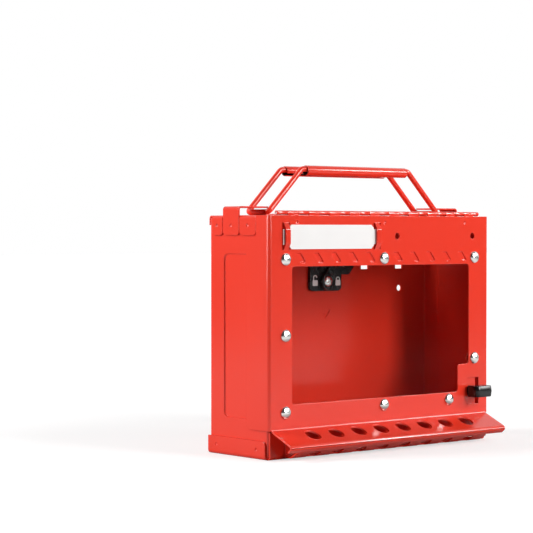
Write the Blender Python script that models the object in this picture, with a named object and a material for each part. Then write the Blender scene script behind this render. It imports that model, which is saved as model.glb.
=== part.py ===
"""Group lockout box of folded sheet steel, with a windowed cover on a piano hinge.

Metres, +Z up. The origin lies under the middle of the floor, on the plane that the box
stands on. The cover faces -Y. Places on the cover are given as a distance in from its side
edges and a drop below the box's top; places behind it as a distance back from its face.
"""

import math

import bmesh
import bpy
from mathutils import Vector

# Overall sizes
WIDTH = 0.285
HEIGHT = 0.2206
DEPTH = 0.0871
SHEET = 0.0015
BEND = 0.0015
GAP = 0.0003
OVERRUN = 0.002

# Facets
BEND_STEPS = 3
CORNER_STEPS = 4
HOLE_STEPS = 20
TUBE_STEPS = 12

# Case
RETURN_WIDTH = 0.010
PANEL_FRONT = 0.0183
PANEL_BACK = 0.0197
PANEL_END = 0.0337
PANEL_DEPTH = 0.0012
PANEL_SLOPE = 0.0020
PANEL_CORNER = 0.0048
HANG_SLOT_OFFSET = 0.0787
HANG_SLOT_WIDTH = 0.057
HANG_SLOT_DROP = 0.0389
HANG_SLOT_HEIGHT = 0.0095
HANG_NOTCH_WIDTH = 0.0097
HANG_NOTCH_HEIGHT = 0.0038
WALL_HOLE_OFFSET = 0.1029
WALL_HOLE_DROP = 0.0718
WALL_HOLE_RADIUS = 0.0031
TICK_DROP = 0.0953
TICK_LONG = 0.0100
TICK_SHORT = 0.005
TICK_WIDTH = 0.0026
TICK_SIDE = 0.0016
TICK_DEPTH = 0.0011
TICK_RIM = 0.0007

# Top panel with its tabs, and the two handle straps
TAB_DROP = 0.0181
TAB_CORNER = 0.0038
TAB_GAP = 0.0009
FRONT_TAB_START = 0.0185
REAR_TAB_WIDTH = 0.01555
TOP_LIP = 0.0085
REAR_LIP = 0.0088
REAR_LIP_INSET = 0.0029
REAR_TAB_CLEAR = 0.0053
STRAP_WIDTH = 0.0227
STRAP_REACH = 0.0352
STRAP_RISE = 0.0069
STRAP_CORNER = 0.0034

# Floor pan and the fixed padlock plate
PAN_SIDE_HEIGHT = 0.0168
PAN_SIDE_START = 0.0059
PAN_FRONT_CLEAR = 0.0014
PAN_CORNER = 0.0038
HASP_INSET = 0.0195
HASP_CLEAR = 0.0028
HASP_BASE = 0.0016
HASP_FLAT = 0.0072
HASP_REACH = 0.0205
HASP_RISE_ANGLE = math.radians(28)
HASP_CORNER = 0.005
HASP_HOLE_RADIUS = 0.0070

# Cover
FOLD = 0.0265
FLANGE_DEPTH = 0.0321
FLANGE_STEP = 0.0203
FLANGE_CORNER = 0.0048
SHELF_REACH = 0.0265
SHELF_FALL = 0.0118
SHELF_INSET = 0.0035
LIP_FALL = 0.0030
LIP_RETURN = 0.0042
LIP_RETURN_FALL = 0.0033
PADLOCK_END = 0.0155
PADLOCK_PITCH = 0.0284
PADLOCK_OUT = 0.0110
PADLOCK_RADIUS = 0.0076
WINDOW_SIDE = 0.0275
WINDOW_TOP = 0.0465
WINDOW_RISE = 0.0227
WINDOW_NOTCH_WIDTH = 0.0153
WINDOW_NOTCH_HEIGHT = 0.0268
WINDOW_CORNER = 0.0029
PLUG_HOLE_RADIUS = 0.0030
PLUG_HOLE_DROP = 0.0191
PLUG_HOLE_PAST = 0.0265
PLUG_HOLE_EDGE = 0.0227

# Stamped slanting ribs in the cover's top band
RIB_CLEAR = 0.0019
RIB_HEIGHT = 0.0118
RIB_WIDTH = 0.0088
RIB_SHIFT = 0.0088
RIB_DEPTH = 0.0012
RIB_SLOPE = 0.0010
RIB_CORNER = 0.0015
RIB_PITCH = 0.02175
RIB_LEFT_START = 0.0292
RIB_MIDDLE_START = 0.0098
RIB_END = 0.024

# Card with its two lanced bridges
BRIDGE_INSET = 0.0203
BRIDGE_SPAN = 0.1129
BRIDGE_WIDTH = 0.0056
BRIDGE_TOP = 0.0068
BRIDGE_HEIGHT = 0.0247
BRIDGE_FLAT = 0.0127
BRIDGE_RISE = 0.0034
BRIDGE_SLOT_WIDTH = 0.0092
CARD_THICKNESS = 0.0006
CARD_TOP = 0.0086
CARD_HEIGHT = 0.0222
CARD_CHAMFER = 0.0028
CARD_TONGUE_HEIGHT = 0.0141
CARD_TONGUE_PAST = 0.0013
CARD_RIGHT_CLEAR = 0.0024

# Window pane and its rivets
PANE_THICKNESS = 0.003
PANE_LAP_SIDE = 0.0134
PANE_LAP_TOP = 0.0013
PANE_LAP_BOTTOM = 0.0161
PANE_LAP_STEP = 0.0048
PANE_LAP_LEDGE = 0.003
PANE_EAR_WIDTH = 0.0114
PANE_EAR_RISE = 0.0059
PANE_CORNER = 0.002
RIVET_HEAD_RADIUS = 0.0058
RIVET_HEAD_HEIGHT = 0.0029
RIVET_SHANK_RADIUS = 0.0024
RIVET_TAIL_RADIUS = 0.0042
RIVET_TAIL_HEIGHT = 0.0014
RIVET_OUT_SIDE = 0.0077
RIVET_OUT_TOP = 0.0065
RIVET_OUT_BOTTOM = 0.0070
RIVET_LEDGE_RISE = 0.0054
RIVET_STEP_BACK = 0.0125
WASHER_RADIUS = 0.0054
WASHER_THICKNESS = 0.0010

# Piano hinge
HINGE_INSET = 0.0115
KNUCKLE_LENGTH = 0.0127
BARREL_RADIUS = 0.0020
LEAF = 0.0009
HINGE_PIN_RADIUS = 0.0009
COVER_LEAF_DROP = 0.0095
CASE_LEAF_REACH = 0.014
WRAP_END = math.radians(-112)
WRAP_STEPS = 9

# Cover latch
LATCH_SLOT_WIDTH = 0.0158
LATCH_SLOT_RISE = 0.0097
LATCH_SLOT_HEIGHT = 0.0261
LATCH_SIDE = 0.0215
LATCH_STEM_WIDTH = 0.0150
LATCH_STEM_HEIGHT = 0.0085
KNOB_WIDTH = 0.020
KNOB_HEIGHT = 0.0111
KNOB_DEPTH = 0.0164
KNOB_ROUNDING = 0.0018
SLIDE_WIDTH = 0.0185
SLIDE_RIGHT = 0.0165
SLIDE_PAST_TOP = 0.0016
SLIDE_PAST_BOTTOM = 0.0003
HOOK_WIDTH = 0.009
HOOK_BACK = 0.0053
HOOK_DROP = 0.0075
LATCH_RIVET_RADIUS = 0.0020
LATCH_RIVET_HEAD = 0.0036
LATCH_RIVET_HEAD_HEIGHT = 0.0011
LATCH_RIVET_DEPTH = 0.009
KEEPER_WIDTH = 0.014
KEEPER_TOP = 0.0274
KEEPER_BASE = 0.0038

# Handle
WIRE_RADIUS = 0.0027
WIRE_BEND = 0.0050
WIRE_FOOT = 0.0325
WIRE_SHOULDER = 0.071
HANDLE_RISE = 0.0429
WIRE_STRAP_GAP = 0.0008
GRIP_LENGTH = 0.1295
GRIP_RADIUS = 0.0048
GRIP_SHEET = 0.0012
GRIP_OPEN_ANGLE = math.radians(34)
GRIP_STEPS = 18

# Turn lock on the back wall
LOCK_DROP = 0.0635
LOCK_BASE_WIDTH = 0.0415
LOCK_BASE_TOP = 0.0209
LOCK_BASE_BOTTOM = 0.0093
LOCK_BASE_THICKNESS = 0.0035
LOCK_BASE_CORNER = 0.0043
LEVER_THICKNESS = 0.0042
LEVER_HUB_RADIUS = 0.0082
LEVER_LENGTH = 0.0410
LEVER_ROOT_WIDTH = 0.014
LEVER_END_WIDTH = 0.022
LEVER_END_CHAMFER = 0.007
LEVER_ANGLE = math.radians(42)
LOCK_HEAD_RADIUS = 0.0050
LOCK_HEAD_HEIGHT = 0.0026
LOCK_HEAD_SINK = 0.0018
LOCK_SHANK_RADIUS = 0.0030
CAM_THICKNESS = 0.0014
CAM_HUB_RADIUS = 0.0085
CAM_LENGTH = 0.022
CAM_TIP_WIDTH = 0.010

# Spot weld dimples
DIMPLE_RADIUS = 0.0017
DIMPLE_DEPTH = 0.0009
DIMPLE_RINGS = 2
DIMPLE_STEPS = 8
TAB_DIMPLE_DROP = 0.0091
PAN_DIMPLE_HEIGHT = 0.0091
PAN_DIMPLE_INSET = 0.0120
COVER_DIMPLE_DROP = 0.0063
COVER_DIMPLE_SHARES = (0.1175, 0.503, 0.884)

# Planes that the pieces share
FACE = -DEPTH / 2
BACK = DEPTH / 2
COVER_BACK = FACE + SHEET
INNER_LAYER = COVER_BACK + GAP
CASE_FRONT = INNER_LAYER + SHEET + GAP
COVER_SIDE = WIDTH / 2
CASE_SIDE = COVER_SIDE - SHEET - GAP
FLOOR_TOP = SHEET
HASP_TOP = FOLD - HASP_CLEAR
PAN_FRONT_HEIGHT = FOLD - PAN_FRONT_CLEAR
CASE_BOTTOM = FLOOR_TOP + BEND / 2 + GAP
CASE_TOP = HEIGHT - SHEET - BEND / 2 - GAP
REAR_LAYER = BACK + GAP
HINGE_Y = INNER_LAYER + BARREL_RADIUS
HINGE_Z = HEIGHT + GAP + BARREL_RADIUS
HINGE_LENGTH = WIDTH - HINGE_INSET * 2
HINGE_START = -HINGE_LENGTH / 2
REAR_TAB_END = DEPTH - REAR_TAB_CLEAR
REAR_TAB_START = REAR_TAB_END - REAR_TAB_WIDTH
STRAP_START = REAR_TAB_START - TAB_GAP - STRAP_WIDTH
FRONT_TAB_END = STRAP_START - TAB_GAP
STRAP_Y = FACE + STRAP_START + STRAP_WIDTH / 2
WIRE_SPREAD = STRAP_WIDTH / 2 + WIRE_RADIUS + WIRE_STRAP_GAP
WIRE_FOOT_Z = HEIGHT + GAP + WIRE_RADIUS
WIRE_TOP_Z = HEIGHT + HANDLE_RISE
LATCH_X = COVER_SIDE - LATCH_SIDE
LATCH_LOW = FOLD + LATCH_SLOT_RISE
LATCH_HIGH = LATCH_LOW + LATCH_SLOT_HEIGHT
LATCH_Z = (LATCH_LOW + LATCH_HIGH) / 2
LOCK_Z = HEIGHT - LOCK_DROP
WALL_INSIDE = BACK - SHEET
WINDOW_HALF = COVER_SIDE - WINDOW_SIDE
WINDOW_STEP = WINDOW_HALF - WINDOW_NOTCH_WIDTH
WINDOW_HIGH = HEIGHT - WINDOW_TOP
WINDOW_LOW = FOLD + WINDOW_RISE
WINDOW_LEDGE = WINDOW_LOW + WINDOW_NOTCH_HEIGHT


def clear_scene():
    """Remove every object that the file opened with."""
    for old in list(bpy.data.objects):
        bpy.data.objects.remove(old, do_unlink=True)


def finish(name, color, roughness, metallic=0.0, alpha=1.0):
    """A Principled material of one colour."""
    material = bpy.data.materials.new(name)
    material.use_nodes = True
    shader = material.node_tree.nodes["Principled BSDF"]
    shader.inputs["Base Color"].default_value = (*color, 1.0)
    shader.inputs["Roughness"].default_value = roughness
    shader.inputs["Metallic"].default_value = metallic
    shader.inputs["Alpha"].default_value = alpha
    return material


def spot(axis, a, b, along):
    """A point from two coordinates in the plane across an axis and one along it."""
    if axis == "X":
        return Vector((along, a, b))
    if axis == "Y":
        return Vector((a, along, b))
    return Vector((a, b, along))


def loft(axis, low, low_outline, high, high_outline):
    """A closed solid between two outlines with as many points each."""
    solid = bmesh.new()
    first = [solid.verts.new(spot(axis, a, b, low)) for a, b in low_outline]
    last = [solid.verts.new(spot(axis, a, b, high)) for a, b in high_outline]
    caps = [solid.faces.new(first), solid.faces.new(last)]
    edges = [edge for cap in caps for edge in cap.edges]
    bmesh.ops.bridge_loops(solid, edges=edges)
    bmesh.ops.recalc_face_normals(solid, faces=solid.faces)
    return solid


def prism(axis, low, high, outline):
    """An outline extruded along an axis from one plane to another."""
    return loft(axis, low, outline, high, outline)


def box(low, high):
    """A solid block between two corners."""
    outline = rectangle(low[0], low[1], high[0], high[1])
    return prism("Z", low[2], high[2], outline)


def turned(axis, centre, start, profile, steps):
    """A profile of (radius, distance along the axis) spun once around it."""
    solid = bmesh.new()
    ring = [solid.verts.new(spot(axis, radius, 0, along)) for radius, along in profile]
    edges = [solid.edges.new(pair) for pair in zip(ring, ring[1:])]
    direction = spot(axis, 0, 0, 1)
    bmesh.ops.spin(solid, geom=ring + edges, cent=(0, 0, 0), axis=direction,
                   angle=math.tau, steps=steps, use_merge=True)
    bmesh.ops.remove_doubles(solid, verts=solid.verts, dist=OVERRUN / 1000)
    bmesh.ops.recalc_face_normals(solid, faces=solid.faces)
    bmesh.ops.translate(solid, verts=solid.verts, vec=spot(axis, *centre, start))
    return solid


def rod(axis, centre, radius, low, high, steps=HOLE_STEPS):
    """A plain cylinder along an axis."""
    return prism(axis, low, high, circle(centre, radius, steps))


def circle(centre, radius, steps=HOLE_STEPS):
    """Points round a circle."""
    turns = [math.tau * (step + 0.5) / steps for step in range(steps)]
    return [(centre[0] + radius * math.cos(t), centre[1] + radius * math.sin(t)) for t in turns]


def rectangle(left, low, right, high):
    """The four corners of a rectangle."""
    return [(left, low), (right, low), (right, high), (left, high)]


def arc(centre, radius, start, end, steps):
    """Points along an arc, both ends included."""
    points = []
    for step in range(steps + 1):
        angle = start + (end - start) * step / steps
        points.append((centre[0] + radius * math.cos(angle), centre[1] + radius * math.sin(angle)))
    return points


def rounded(corners, radii, steps=CORNER_STEPS):
    """A closed outline with each corner rounded by its own radius, zero for a sharp one."""
    outline = []
    count = len(corners)
    for index, radius in enumerate(radii):
        here = Vector(corners[index])
        before = (Vector(corners[index - 1]) - here).normalized()
        after = (Vector(corners[(index + 1) % count]) - here).normalized()
        if radius == 0:
            outline.append(tuple(here))
            continue
        half = before.angle(after) / 2
        middle = here + (before + after).normalized() * radius / math.sin(half)
        start = here + before * radius / math.tan(half) - middle
        end = here + after * radius / math.tan(half) - middle
        turn = start.angle_signed(end)
        first = math.atan2(start.y, start.x)
        outline += arc(middle, radius, first, first - turn, steps)
    return outline


def shrunk(outline, margin):
    """An outline drawn in towards its middle by about one margin on every side."""
    xs = [point[0] for point in outline]
    ys = [point[1] for point in outline]
    middle = ((min(xs) + max(xs)) / 2, (min(ys) + max(ys)) / 2)
    across = 1 - 2 * margin / (max(xs) - min(xs))
    up = 1 - 2 * margin / (max(ys) - min(ys))
    return [(middle[0] + (x - middle[0]) * across, middle[1] + (y - middle[1]) * up)
            for x, y in outline]


def folded(points, thickness=SHEET, inside=BEND):
    """The outline of a sheet folded along a path; the sheet lies left of the path."""
    near, far = [], []
    path = [Vector(point) for point in points]
    for index, here in enumerate(path):
        if index == 0 or index == len(path) - 1:
            along = path[1] - here if index == 0 else here - path[index - 1]
            left = Vector((-along.y, along.x)).normalized() * thickness
            near.append(tuple(here))
            far.append(tuple(here + left))
            continue
        back = (path[index - 1] - here).normalized()
        ahead = (path[index + 1] - here).normalized()
        half = back.angle(ahead) / 2
        left_turn = back.cross(ahead) < 0
        near_radius = inside + thickness if left_turn else inside
        far_radius = inside if left_turn else inside + thickness
        middle = here + (back + ahead).normalized() * near_radius / math.sin(half)
        start = here + back * near_radius / math.tan(half) - middle
        end = here + ahead * near_radius / math.tan(half) - middle
        first = math.atan2(start.y, start.x)
        turn = -start.angle_signed(end)
        near += arc(middle, near_radius, first, first + turn, BEND_STEPS)
        far += arc(middle, far_radius, first, first + turn, BEND_STEPS)
    return near + far[::-1]


def merged(solids):
    """Several separate solids in one mesh, for one cut or one union."""
    whole = bmesh.new()
    for solid in solids:
        piece = bpy.data.meshes.new("piece")
        solid.to_mesh(piece)
        whole.from_mesh(piece)
        solid.free()
        bpy.data.meshes.remove(piece)
    return whole


def add_object(name, solid, material=None):
    """Put a mesh into the scene."""
    mesh = bpy.data.meshes.new(name)
    solid.to_mesh(mesh)
    solid.free()
    made = bpy.data.objects.new(name, mesh)
    bpy.context.scene.collection.objects.link(made)
    if material is not None:
        mesh.materials.append(material)
    return made


def smooth(made, limit=math.radians(35)):
    """Shade the round faces smooth and keep the real edges sharp."""
    made.data.shade_smooth()
    made.data.set_sharp_from_angle(angle=limit)
    return made


def work(made, operation, label, solids):
    """Join solids to an object, or cut them out of it, with one boolean."""
    tool = add_object(f"{made.name}_{label}_guide", merged(solids))
    tool.hide_render = True
    tool.display_type = "WIRE"
    tool.parent = made
    change = made.modifiers.new(label, "BOOLEAN")
    change.operation = operation
    change.solver = "EXACT"
    change.object = tool
    return made


def unite(made, label, solids):
    return work(made, "UNION", label, solids)


def cut(made, label, solids):
    return work(made, "DIFFERENCE", label, solids)


def empty(name, location):
    """A pivot that a moving group hangs on."""
    pivot = bpy.data.objects.new(name, None)
    pivot.location = location
    bpy.context.scene.collection.objects.link(pivot)
    return pivot


def pivot_place(pivot):
    """A pivot's place in the world, through the pivots that it hangs on."""
    if pivot.parent is None:
        return pivot.location.copy()
    return pivot.location + pivot_place(pivot.parent)


def carry(pivot, made, location=(0, 0, 0)):
    """Hang an object on a pivot, with its own origin at a place in the world."""
    made.parent = pivot
    made.location = Vector(location) - pivot_place(pivot)
    return made


def from_left(inset):
    return inset - COVER_SIDE


def below_top(drop):
    return HEIGHT - drop


def behind_face(distance):
    return FACE + distance


def dimple(axis, centre, surface, inward):
    """A small round weld dent, its rim a little outside the surface it dents."""
    angles = [math.pi / 2 * ring / DIMPLE_RINGS for ring in range(DIMPLE_RINGS + 1)]
    rim = surface - inward * OVERRUN
    profile = [(0, 0), (DIMPLE_RADIUS, 0)]
    for angle in angles:
        reach = OVERRUN + DIMPLE_DEPTH * math.sin(angle)
        profile.append((DIMPLE_RADIUS * math.cos(angle), inward * reach))
    profile[-1] = (0, profile[-1][1])
    return turned(axis, centre, rim, profile, DIMPLE_STEPS)


# Case: one sheet makes the back and both sides, with narrow returns along the front


def side_panel(side, outer, inner, margin):
    """The pressed-in field of a side wall, between two X planes."""
    corners = rectangle(behind_face(PANEL_FRONT), PANEL_END, BACK - PANEL_BACK,
                        below_top(PANEL_END))
    outline = rounded(corners, [PANEL_CORNER] * 4)
    return loft("X", side * outer, outline, side * inner, shrunk(outline, margin))


def check_mark(rim):
    """The stamped mark on the back wall, a short and a long stroke with a rim all round."""
    half = TICK_WIDTH / 2 + rim
    slant = math.radians(52)
    rise = Vector((math.cos(slant), math.sin(slant)))
    across = Vector((-rise.y, rise.x))
    foot = Vector((TICK_SIDE, below_top(TICK_DROP) - TICK_LONG / 2 * rise.y)) - rise * rim
    long_end = rise * (TICK_LONG + rim * 2)
    short_end = across * (TICK_SHORT + rim)
    inner = rise * (half * 2)
    corners = [foot - across * half, foot + long_end - across * half,
               foot + long_end + across * half, foot + inner + across * half,
               foot + inner + short_end, foot + short_end]
    return [tuple(corner) for corner in corners]


def hanging_slot(side):
    """A slot for a wall bracket's tongue, with a relief notch at each lower corner."""
    middle = side * HANG_SLOT_OFFSET
    left = middle - HANG_SLOT_WIDTH / 2
    right = middle + HANG_SLOT_WIDTH / 2
    top = below_top(HANG_SLOT_DROP)
    low = top - HANG_SLOT_HEIGHT
    floor = low - HANG_NOTCH_HEIGHT
    return [(left, top), (left, floor), (left + HANG_NOTCH_WIDTH, floor),
            (left + HANG_NOTCH_WIDTH, low), (right - HANG_NOTCH_WIDTH, low),
            (right - HANG_NOTCH_WIDTH, floor), (right, floor), (right, top)]


def build_case(paint):
    inner_end = CASE_SIDE - RETURN_WIDTH
    path = [(-inner_end, CASE_FRONT), (-CASE_SIDE, CASE_FRONT), (-CASE_SIDE, BACK),
            (CASE_SIDE, BACK), (CASE_SIDE, CASE_FRONT), (inner_end, CASE_FRONT)]
    outline = folded(path[::-1], SHEET, BEND)
    case = add_object("case_shell", prism("Z", CASE_BOTTOM, CASE_TOP, outline), paint)
    inside = CASE_SIDE - SHEET
    unite(case, "panel_backs", [side_panel(side, inside + SHEET / 2, inside - PANEL_DEPTH,
                                           PANEL_SLOPE) for side in (-1, 1)])
    cut(case, "panel_fields", [side_panel(side, CASE_SIDE + OVERRUN, CASE_SIDE - PANEL_DEPTH,
                                          PANEL_SLOPE) for side in (-1, 1)])
    low, high = WALL_INSIDE - OVERRUN, BACK + OVERRUN
    holes = [prism("Y", low, high, hanging_slot(side)) for side in (-1, 1)]
    holes += [rod("Y", (side * WALL_HOLE_OFFSET, below_top(WALL_HOLE_DROP)), WALL_HOLE_RADIUS,
                  low, high) for side in (-1, 1)]
    holes.append(rod("Y", (0, LOCK_Z), LOCK_SHANK_RADIUS + GAP, low, high))
    cut(case, "wall_holes", holes)
    unite(case, "mark_back", [prism("Y", BACK - SHEET / 2, BACK + TICK_DEPTH,
                                    check_mark(TICK_RIM))])
    cut(case, "mark_field", [prism("Y", low, WALL_INSIDE + TICK_DEPTH, check_mark(0))])
    return case


def tab_outline(start, end):
    """One side tab's outline in Y and Z, square at the top and rounded below."""
    corners = [(start, HEIGHT - BEND), (start, HEIGHT - TAB_DROP), (end, HEIGHT - TAB_DROP),
               (end, HEIGHT - BEND)]
    return rounded(corners, [0, TAB_CORNER, TAB_CORNER, 0])


def build_top_panel(paint):
    path = [(REAR_LAYER + SHEET, HEIGHT - REAR_LIP), (REAR_LAYER + SHEET, HEIGHT),
            (CASE_FRONT, HEIGHT), (CASE_FRONT, HEIGHT - TOP_LIP)]
    half = CASE_SIDE - RETURN_WIDTH - SHEET
    panel = add_object("top_panel", prism("X", -half, half, folded(path)), paint)
    rear_half = COVER_SIDE - REAR_LIP_INSET
    rear_path = path[:2] + [(BACK - BEND * 3, HEIGHT)]
    plates = [prism("X", -rear_half, rear_half, folded(rear_path))]
    trims = []
    spans = ((FRONT_TAB_START, FRONT_TAB_END), (REAR_TAB_START, REAR_TAB_END))
    for start, end in spans:
        near, far = behind_face(start), behind_face(end)
        across = [(COVER_SIDE, HEIGHT - TAB_DROP), (COVER_SIDE, HEIGHT),
                  (-COVER_SIDE, HEIGHT), (-COVER_SIDE, HEIGHT - TAB_DROP)]
        plates.append(prism("Y", near, far, folded(across)))
        for side in (-1, 1):
            outer, inner = side * (COVER_SIDE + OVERRUN), side * (CASE_SIDE + GAP / 2)
            for edge, inward in ((near, 1), (far, -1)):
                foot = (edge, HEIGHT - TAB_DROP)
                fillet = (edge + inward * TAB_CORNER, HEIGHT - TAB_DROP + TAB_CORNER)
                turn = arc(fillet, TAB_CORNER, math.pi if inward > 0 else 0, -math.pi / 2
                           if inward < 0 else math.pi * 3 / 2, CORNER_STEPS)
                past = [(foot[0] + inward * TAB_CORNER, foot[1] - OVERRUN),
                        (foot[0] - inward * OVERRUN, foot[1] - OVERRUN),
                        (foot[0] - inward * OVERRUN, foot[1] + TAB_CORNER)]
                trims.append(prism("X", outer, inner, turn + past))
    sides = box((-CASE_SIDE, CASE_FRONT + BEND + SHEET, HEIGHT - SHEET),
                (CASE_SIDE, BACK - BEND, HEIGHT))
    unite(panel, "plate", [sides])
    unite(panel, "tabs", plates)
    cut(panel, "tab_corners", trims)
    dents = []
    for start, end in spans:
        for side in (-1, 1):
            centre = (behind_face((start + end) / 2), HEIGHT - TAB_DIMPLE_DROP)
            dents.append(dimple("X", centre, side * COVER_SIDE, -side))
    cut(panel, "weld_dents", dents)
    return panel


def build_strap(name, side, paint):
    """A bent strap welded to the case side; it traps the handle's foot on the top panel."""
    top = HEIGHT + STRAP_RISE + SHEET
    path = [(COVER_SIDE, HEIGHT - TAB_DROP), (COVER_SIDE, top), (COVER_SIDE - STRAP_REACH, top)]
    outline = [(side * x, z) for x, z in folded(path)]
    half = STRAP_WIDTH / 2
    strap = add_object(name, prism("Y", STRAP_Y - half, STRAP_Y + half, outline), paint)
    trims = []
    for end in (-1, 1):
        corner = (STRAP_Y + end * half, HEIGHT - TAB_DROP)
        centre = (corner[0] - end * STRAP_CORNER, corner[1] + STRAP_CORNER)
        turn = arc(centre, STRAP_CORNER, 0 if end > 0 else math.pi,
                   -math.pi / 2 if end > 0 else math.pi * 3 / 2, CORNER_STEPS)
        past = [(corner[0] - end * STRAP_CORNER, corner[1] - OVERRUN),
                (corner[0] + end * OVERRUN, corner[1] - OVERRUN),
                (corner[0] + end * OVERRUN, corner[1] + STRAP_CORNER)]
        trims.append(prism("X", side * (CASE_SIDE + GAP / 2), side * (COVER_SIDE + OVERRUN),
                           turn + past))
    cut(strap, "corners", trims)
    dent = dimple("X", (STRAP_Y, HEIGHT - TAB_DIMPLE_DROP), side * COVER_SIDE, -side)
    cut(strap, "weld_dent", [dent])
    return strap


def build_floor_pan(paint):
    half = COVER_SIDE - SHEET - BEND
    path = [(INNER_LAYER, PAN_FRONT_HEIGHT), (INNER_LAYER, 0), (REAR_LAYER + SHEET, 0),
            (REAR_LAYER + SHEET, REAR_LIP)]
    pan = add_object("bottom_pan", prism("X", -half, half, folded(path)), paint)
    across = [(-COVER_SIDE, PAN_SIDE_HEIGHT), (-COVER_SIDE, 0), (COVER_SIDE, 0),
              (COVER_SIDE, PAN_SIDE_HEIGHT)]
    start, end = behind_face(PAN_SIDE_START), REAR_LAYER
    unite(pan, "sides", [prism("Y", start, end, folded(across))])
    trims, dents = [], []
    for side in (-1, 1):
        centre = (start + PAN_CORNER, PAN_SIDE_HEIGHT - PAN_CORNER)
        turn = arc(centre, PAN_CORNER, math.pi / 2, math.pi, CORNER_STEPS)
        past = [(start - OVERRUN, PAN_SIDE_HEIGHT - PAN_CORNER),
                (start - OVERRUN, PAN_SIDE_HEIGHT + OVERRUN),
                (start + PAN_CORNER, PAN_SIDE_HEIGHT + OVERRUN)]
        trims.append(prism("X", side * (CASE_SIDE + GAP / 2), side * (COVER_SIDE + OVERRUN),
                           turn + past))
        for place in (start + PAN_DIMPLE_INSET, end - PAN_DIMPLE_INSET):
            dents.append(dimple("X", (place, PAN_DIMPLE_HEIGHT), side * COVER_SIDE, -side))
    cut(pan, "corners", trims)
    cut(pan, "weld_dents", dents)
    return pan


def padlock_places():
    """The X of each padlock hole, the same for the cover's shelf and the fixed plate."""
    room = WIDTH - (HASP_INSET + PADLOCK_END) * 2
    spaces = math.floor(room / PADLOCK_PITCH)
    first = -PADLOCK_PITCH * spaces / 2
    return [first + PADLOCK_PITCH * index for index in range(spaces + 1)]


def build_hasp_plate(paint):
    """The fixed padlock plate: a leg up the front, a foot, and a lip that rises outwards."""
    rise = math.tan(HASP_RISE_ANGLE) * (HASP_REACH - HASP_FLAT)
    path = [(FACE - HASP_REACH, HASP_BASE + rise), (FACE - HASP_FLAT, HASP_BASE),
            (COVER_BACK, HASP_BASE), (COVER_BACK, HASP_TOP)]
    half = COVER_SIDE - HASP_INSET
    plate = add_object("hasp_plate", prism("X", -half, half, folded(path)), paint)
    tools = [rod("Z", (x, FACE - PADLOCK_OUT), HASP_HOLE_RADIUS, -OVERRUN, HASP_TOP)
             for x in padlock_places()]
    edge = FACE - HASP_REACH
    for side in (-1, 1):
        corner = [(side * (half - HASP_CORNER), edge - OVERRUN), (side * (half + OVERRUN), edge
                  - OVERRUN), (side * (half + OVERRUN), edge + HASP_CORNER)]
        corner.append((side * half, edge + HASP_CORNER))
        corner.append((side * (half - HASP_CORNER), edge))
        tools.append(prism("Z", 0, HASP_TOP, corner))
    return cut(plate, "padlock_holes", tools)


# Piano hinge: two rolled leaves cut from one length of stock, and their pin


def knuckle_outline(leaf_end):
    """A rolled knuckle in hinge axes: its leaf runs down at the front of the barrel."""
    inner = BARREL_RADIUS - LEAF
    outside = arc((0, 0), BARREL_RADIUS, math.pi, WRAP_END, WRAP_STEPS)
    inside = arc((0, 0), inner, WRAP_END, math.pi, WRAP_STEPS)
    return [(-BARREL_RADIUS, -leaf_end)] + outside + inside + [(-inner, -leaf_end)]


def knuckle_spans(first):
    """Start and end of every second knuckle; the last one is cut short with the stock."""
    spans = []
    count = math.ceil(HINGE_LENGTH / KNUCKLE_LENGTH)
    for index in range(first, count, 2):
        start = HINGE_START + KNUCKLE_LENGTH * index + GAP / 2
        end = HINGE_START + min(KNUCKLE_LENGTH * (index + 1), HINGE_LENGTH) - GAP / 2
        spans.append((start, end))
    return spans


def build_leaf(name, first, turn, reach, paint):
    """A hinge leaf with its rolled knuckles, turned about the pin to its own side."""
    neck = BARREL_RADIUS + GAP
    plate_outline = rectangle(-BARREL_RADIUS, -reach, LEAF - BARREL_RADIUS, -neck)

    def placed(outline):
        points = []
        for a, b in outline:
            y = a * math.cos(turn) - b * math.sin(turn)
            z = a * math.sin(turn) + b * math.cos(turn)
            points.append((HINGE_Y + y, HINGE_Z + z))
        return points

    plate = prism("X", HINGE_START, HINGE_START + HINGE_LENGTH, placed(plate_outline))
    leaf = add_object(name, plate, paint)
    curl = placed(knuckle_outline(neck + LEAF))
    unite(leaf, "knuckles", [prism("X", start, end, curl) for start, end in knuckle_spans(first)])
    return leaf


def build_hinge(cover_axis, paint, steel):
    build_leaf("hinge_leaf_case", 0, math.pi / 2, CASE_LEAF_REACH, paint)
    reach = COVER_LEAF_DROP + HINGE_Z - HEIGHT
    carry(cover_axis, build_leaf("hinge_leaf_cover", 1, 0, reach, paint))
    pin = rod("X", (HINGE_Y, HINGE_Z), HINGE_PIN_RADIUS, HINGE_START + GAP,
              HINGE_START + HINGE_LENGTH - GAP, TUBE_STEPS)
    smooth(add_object("hinge_pin", pin, steel))


# Cover: a tray with side flanges, whose foot folds out into the padlock shelf


def window_outline():
    """The window in X and Z, with the step that makes room for the latch."""
    corners = [(-WINDOW_HALF, WINDOW_LOW), (WINDOW_STEP, WINDOW_LOW), (WINDOW_STEP, WINDOW_LEDGE),
               (WINDOW_HALF, WINDOW_LEDGE), (WINDOW_HALF, WINDOW_HIGH),
               (-WINDOW_HALF, WINDOW_HIGH)]
    return rounded(corners, [WINDOW_CORNER] * 6)


def rib_outline(left):
    """One slanting rib in X and Z: a leaning parallelogram with round corners."""
    low = WINDOW_HIGH + RIB_CLEAR
    top = low + RIB_HEIGHT
    corners = [(left, top), (left + RIB_SHIFT, low), (left + RIB_SHIFT + RIB_WIDTH, low),
               (left + RIB_WIDTH, top)]
    return rounded(corners, [RIB_CORNER] * 4, 2)


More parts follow.
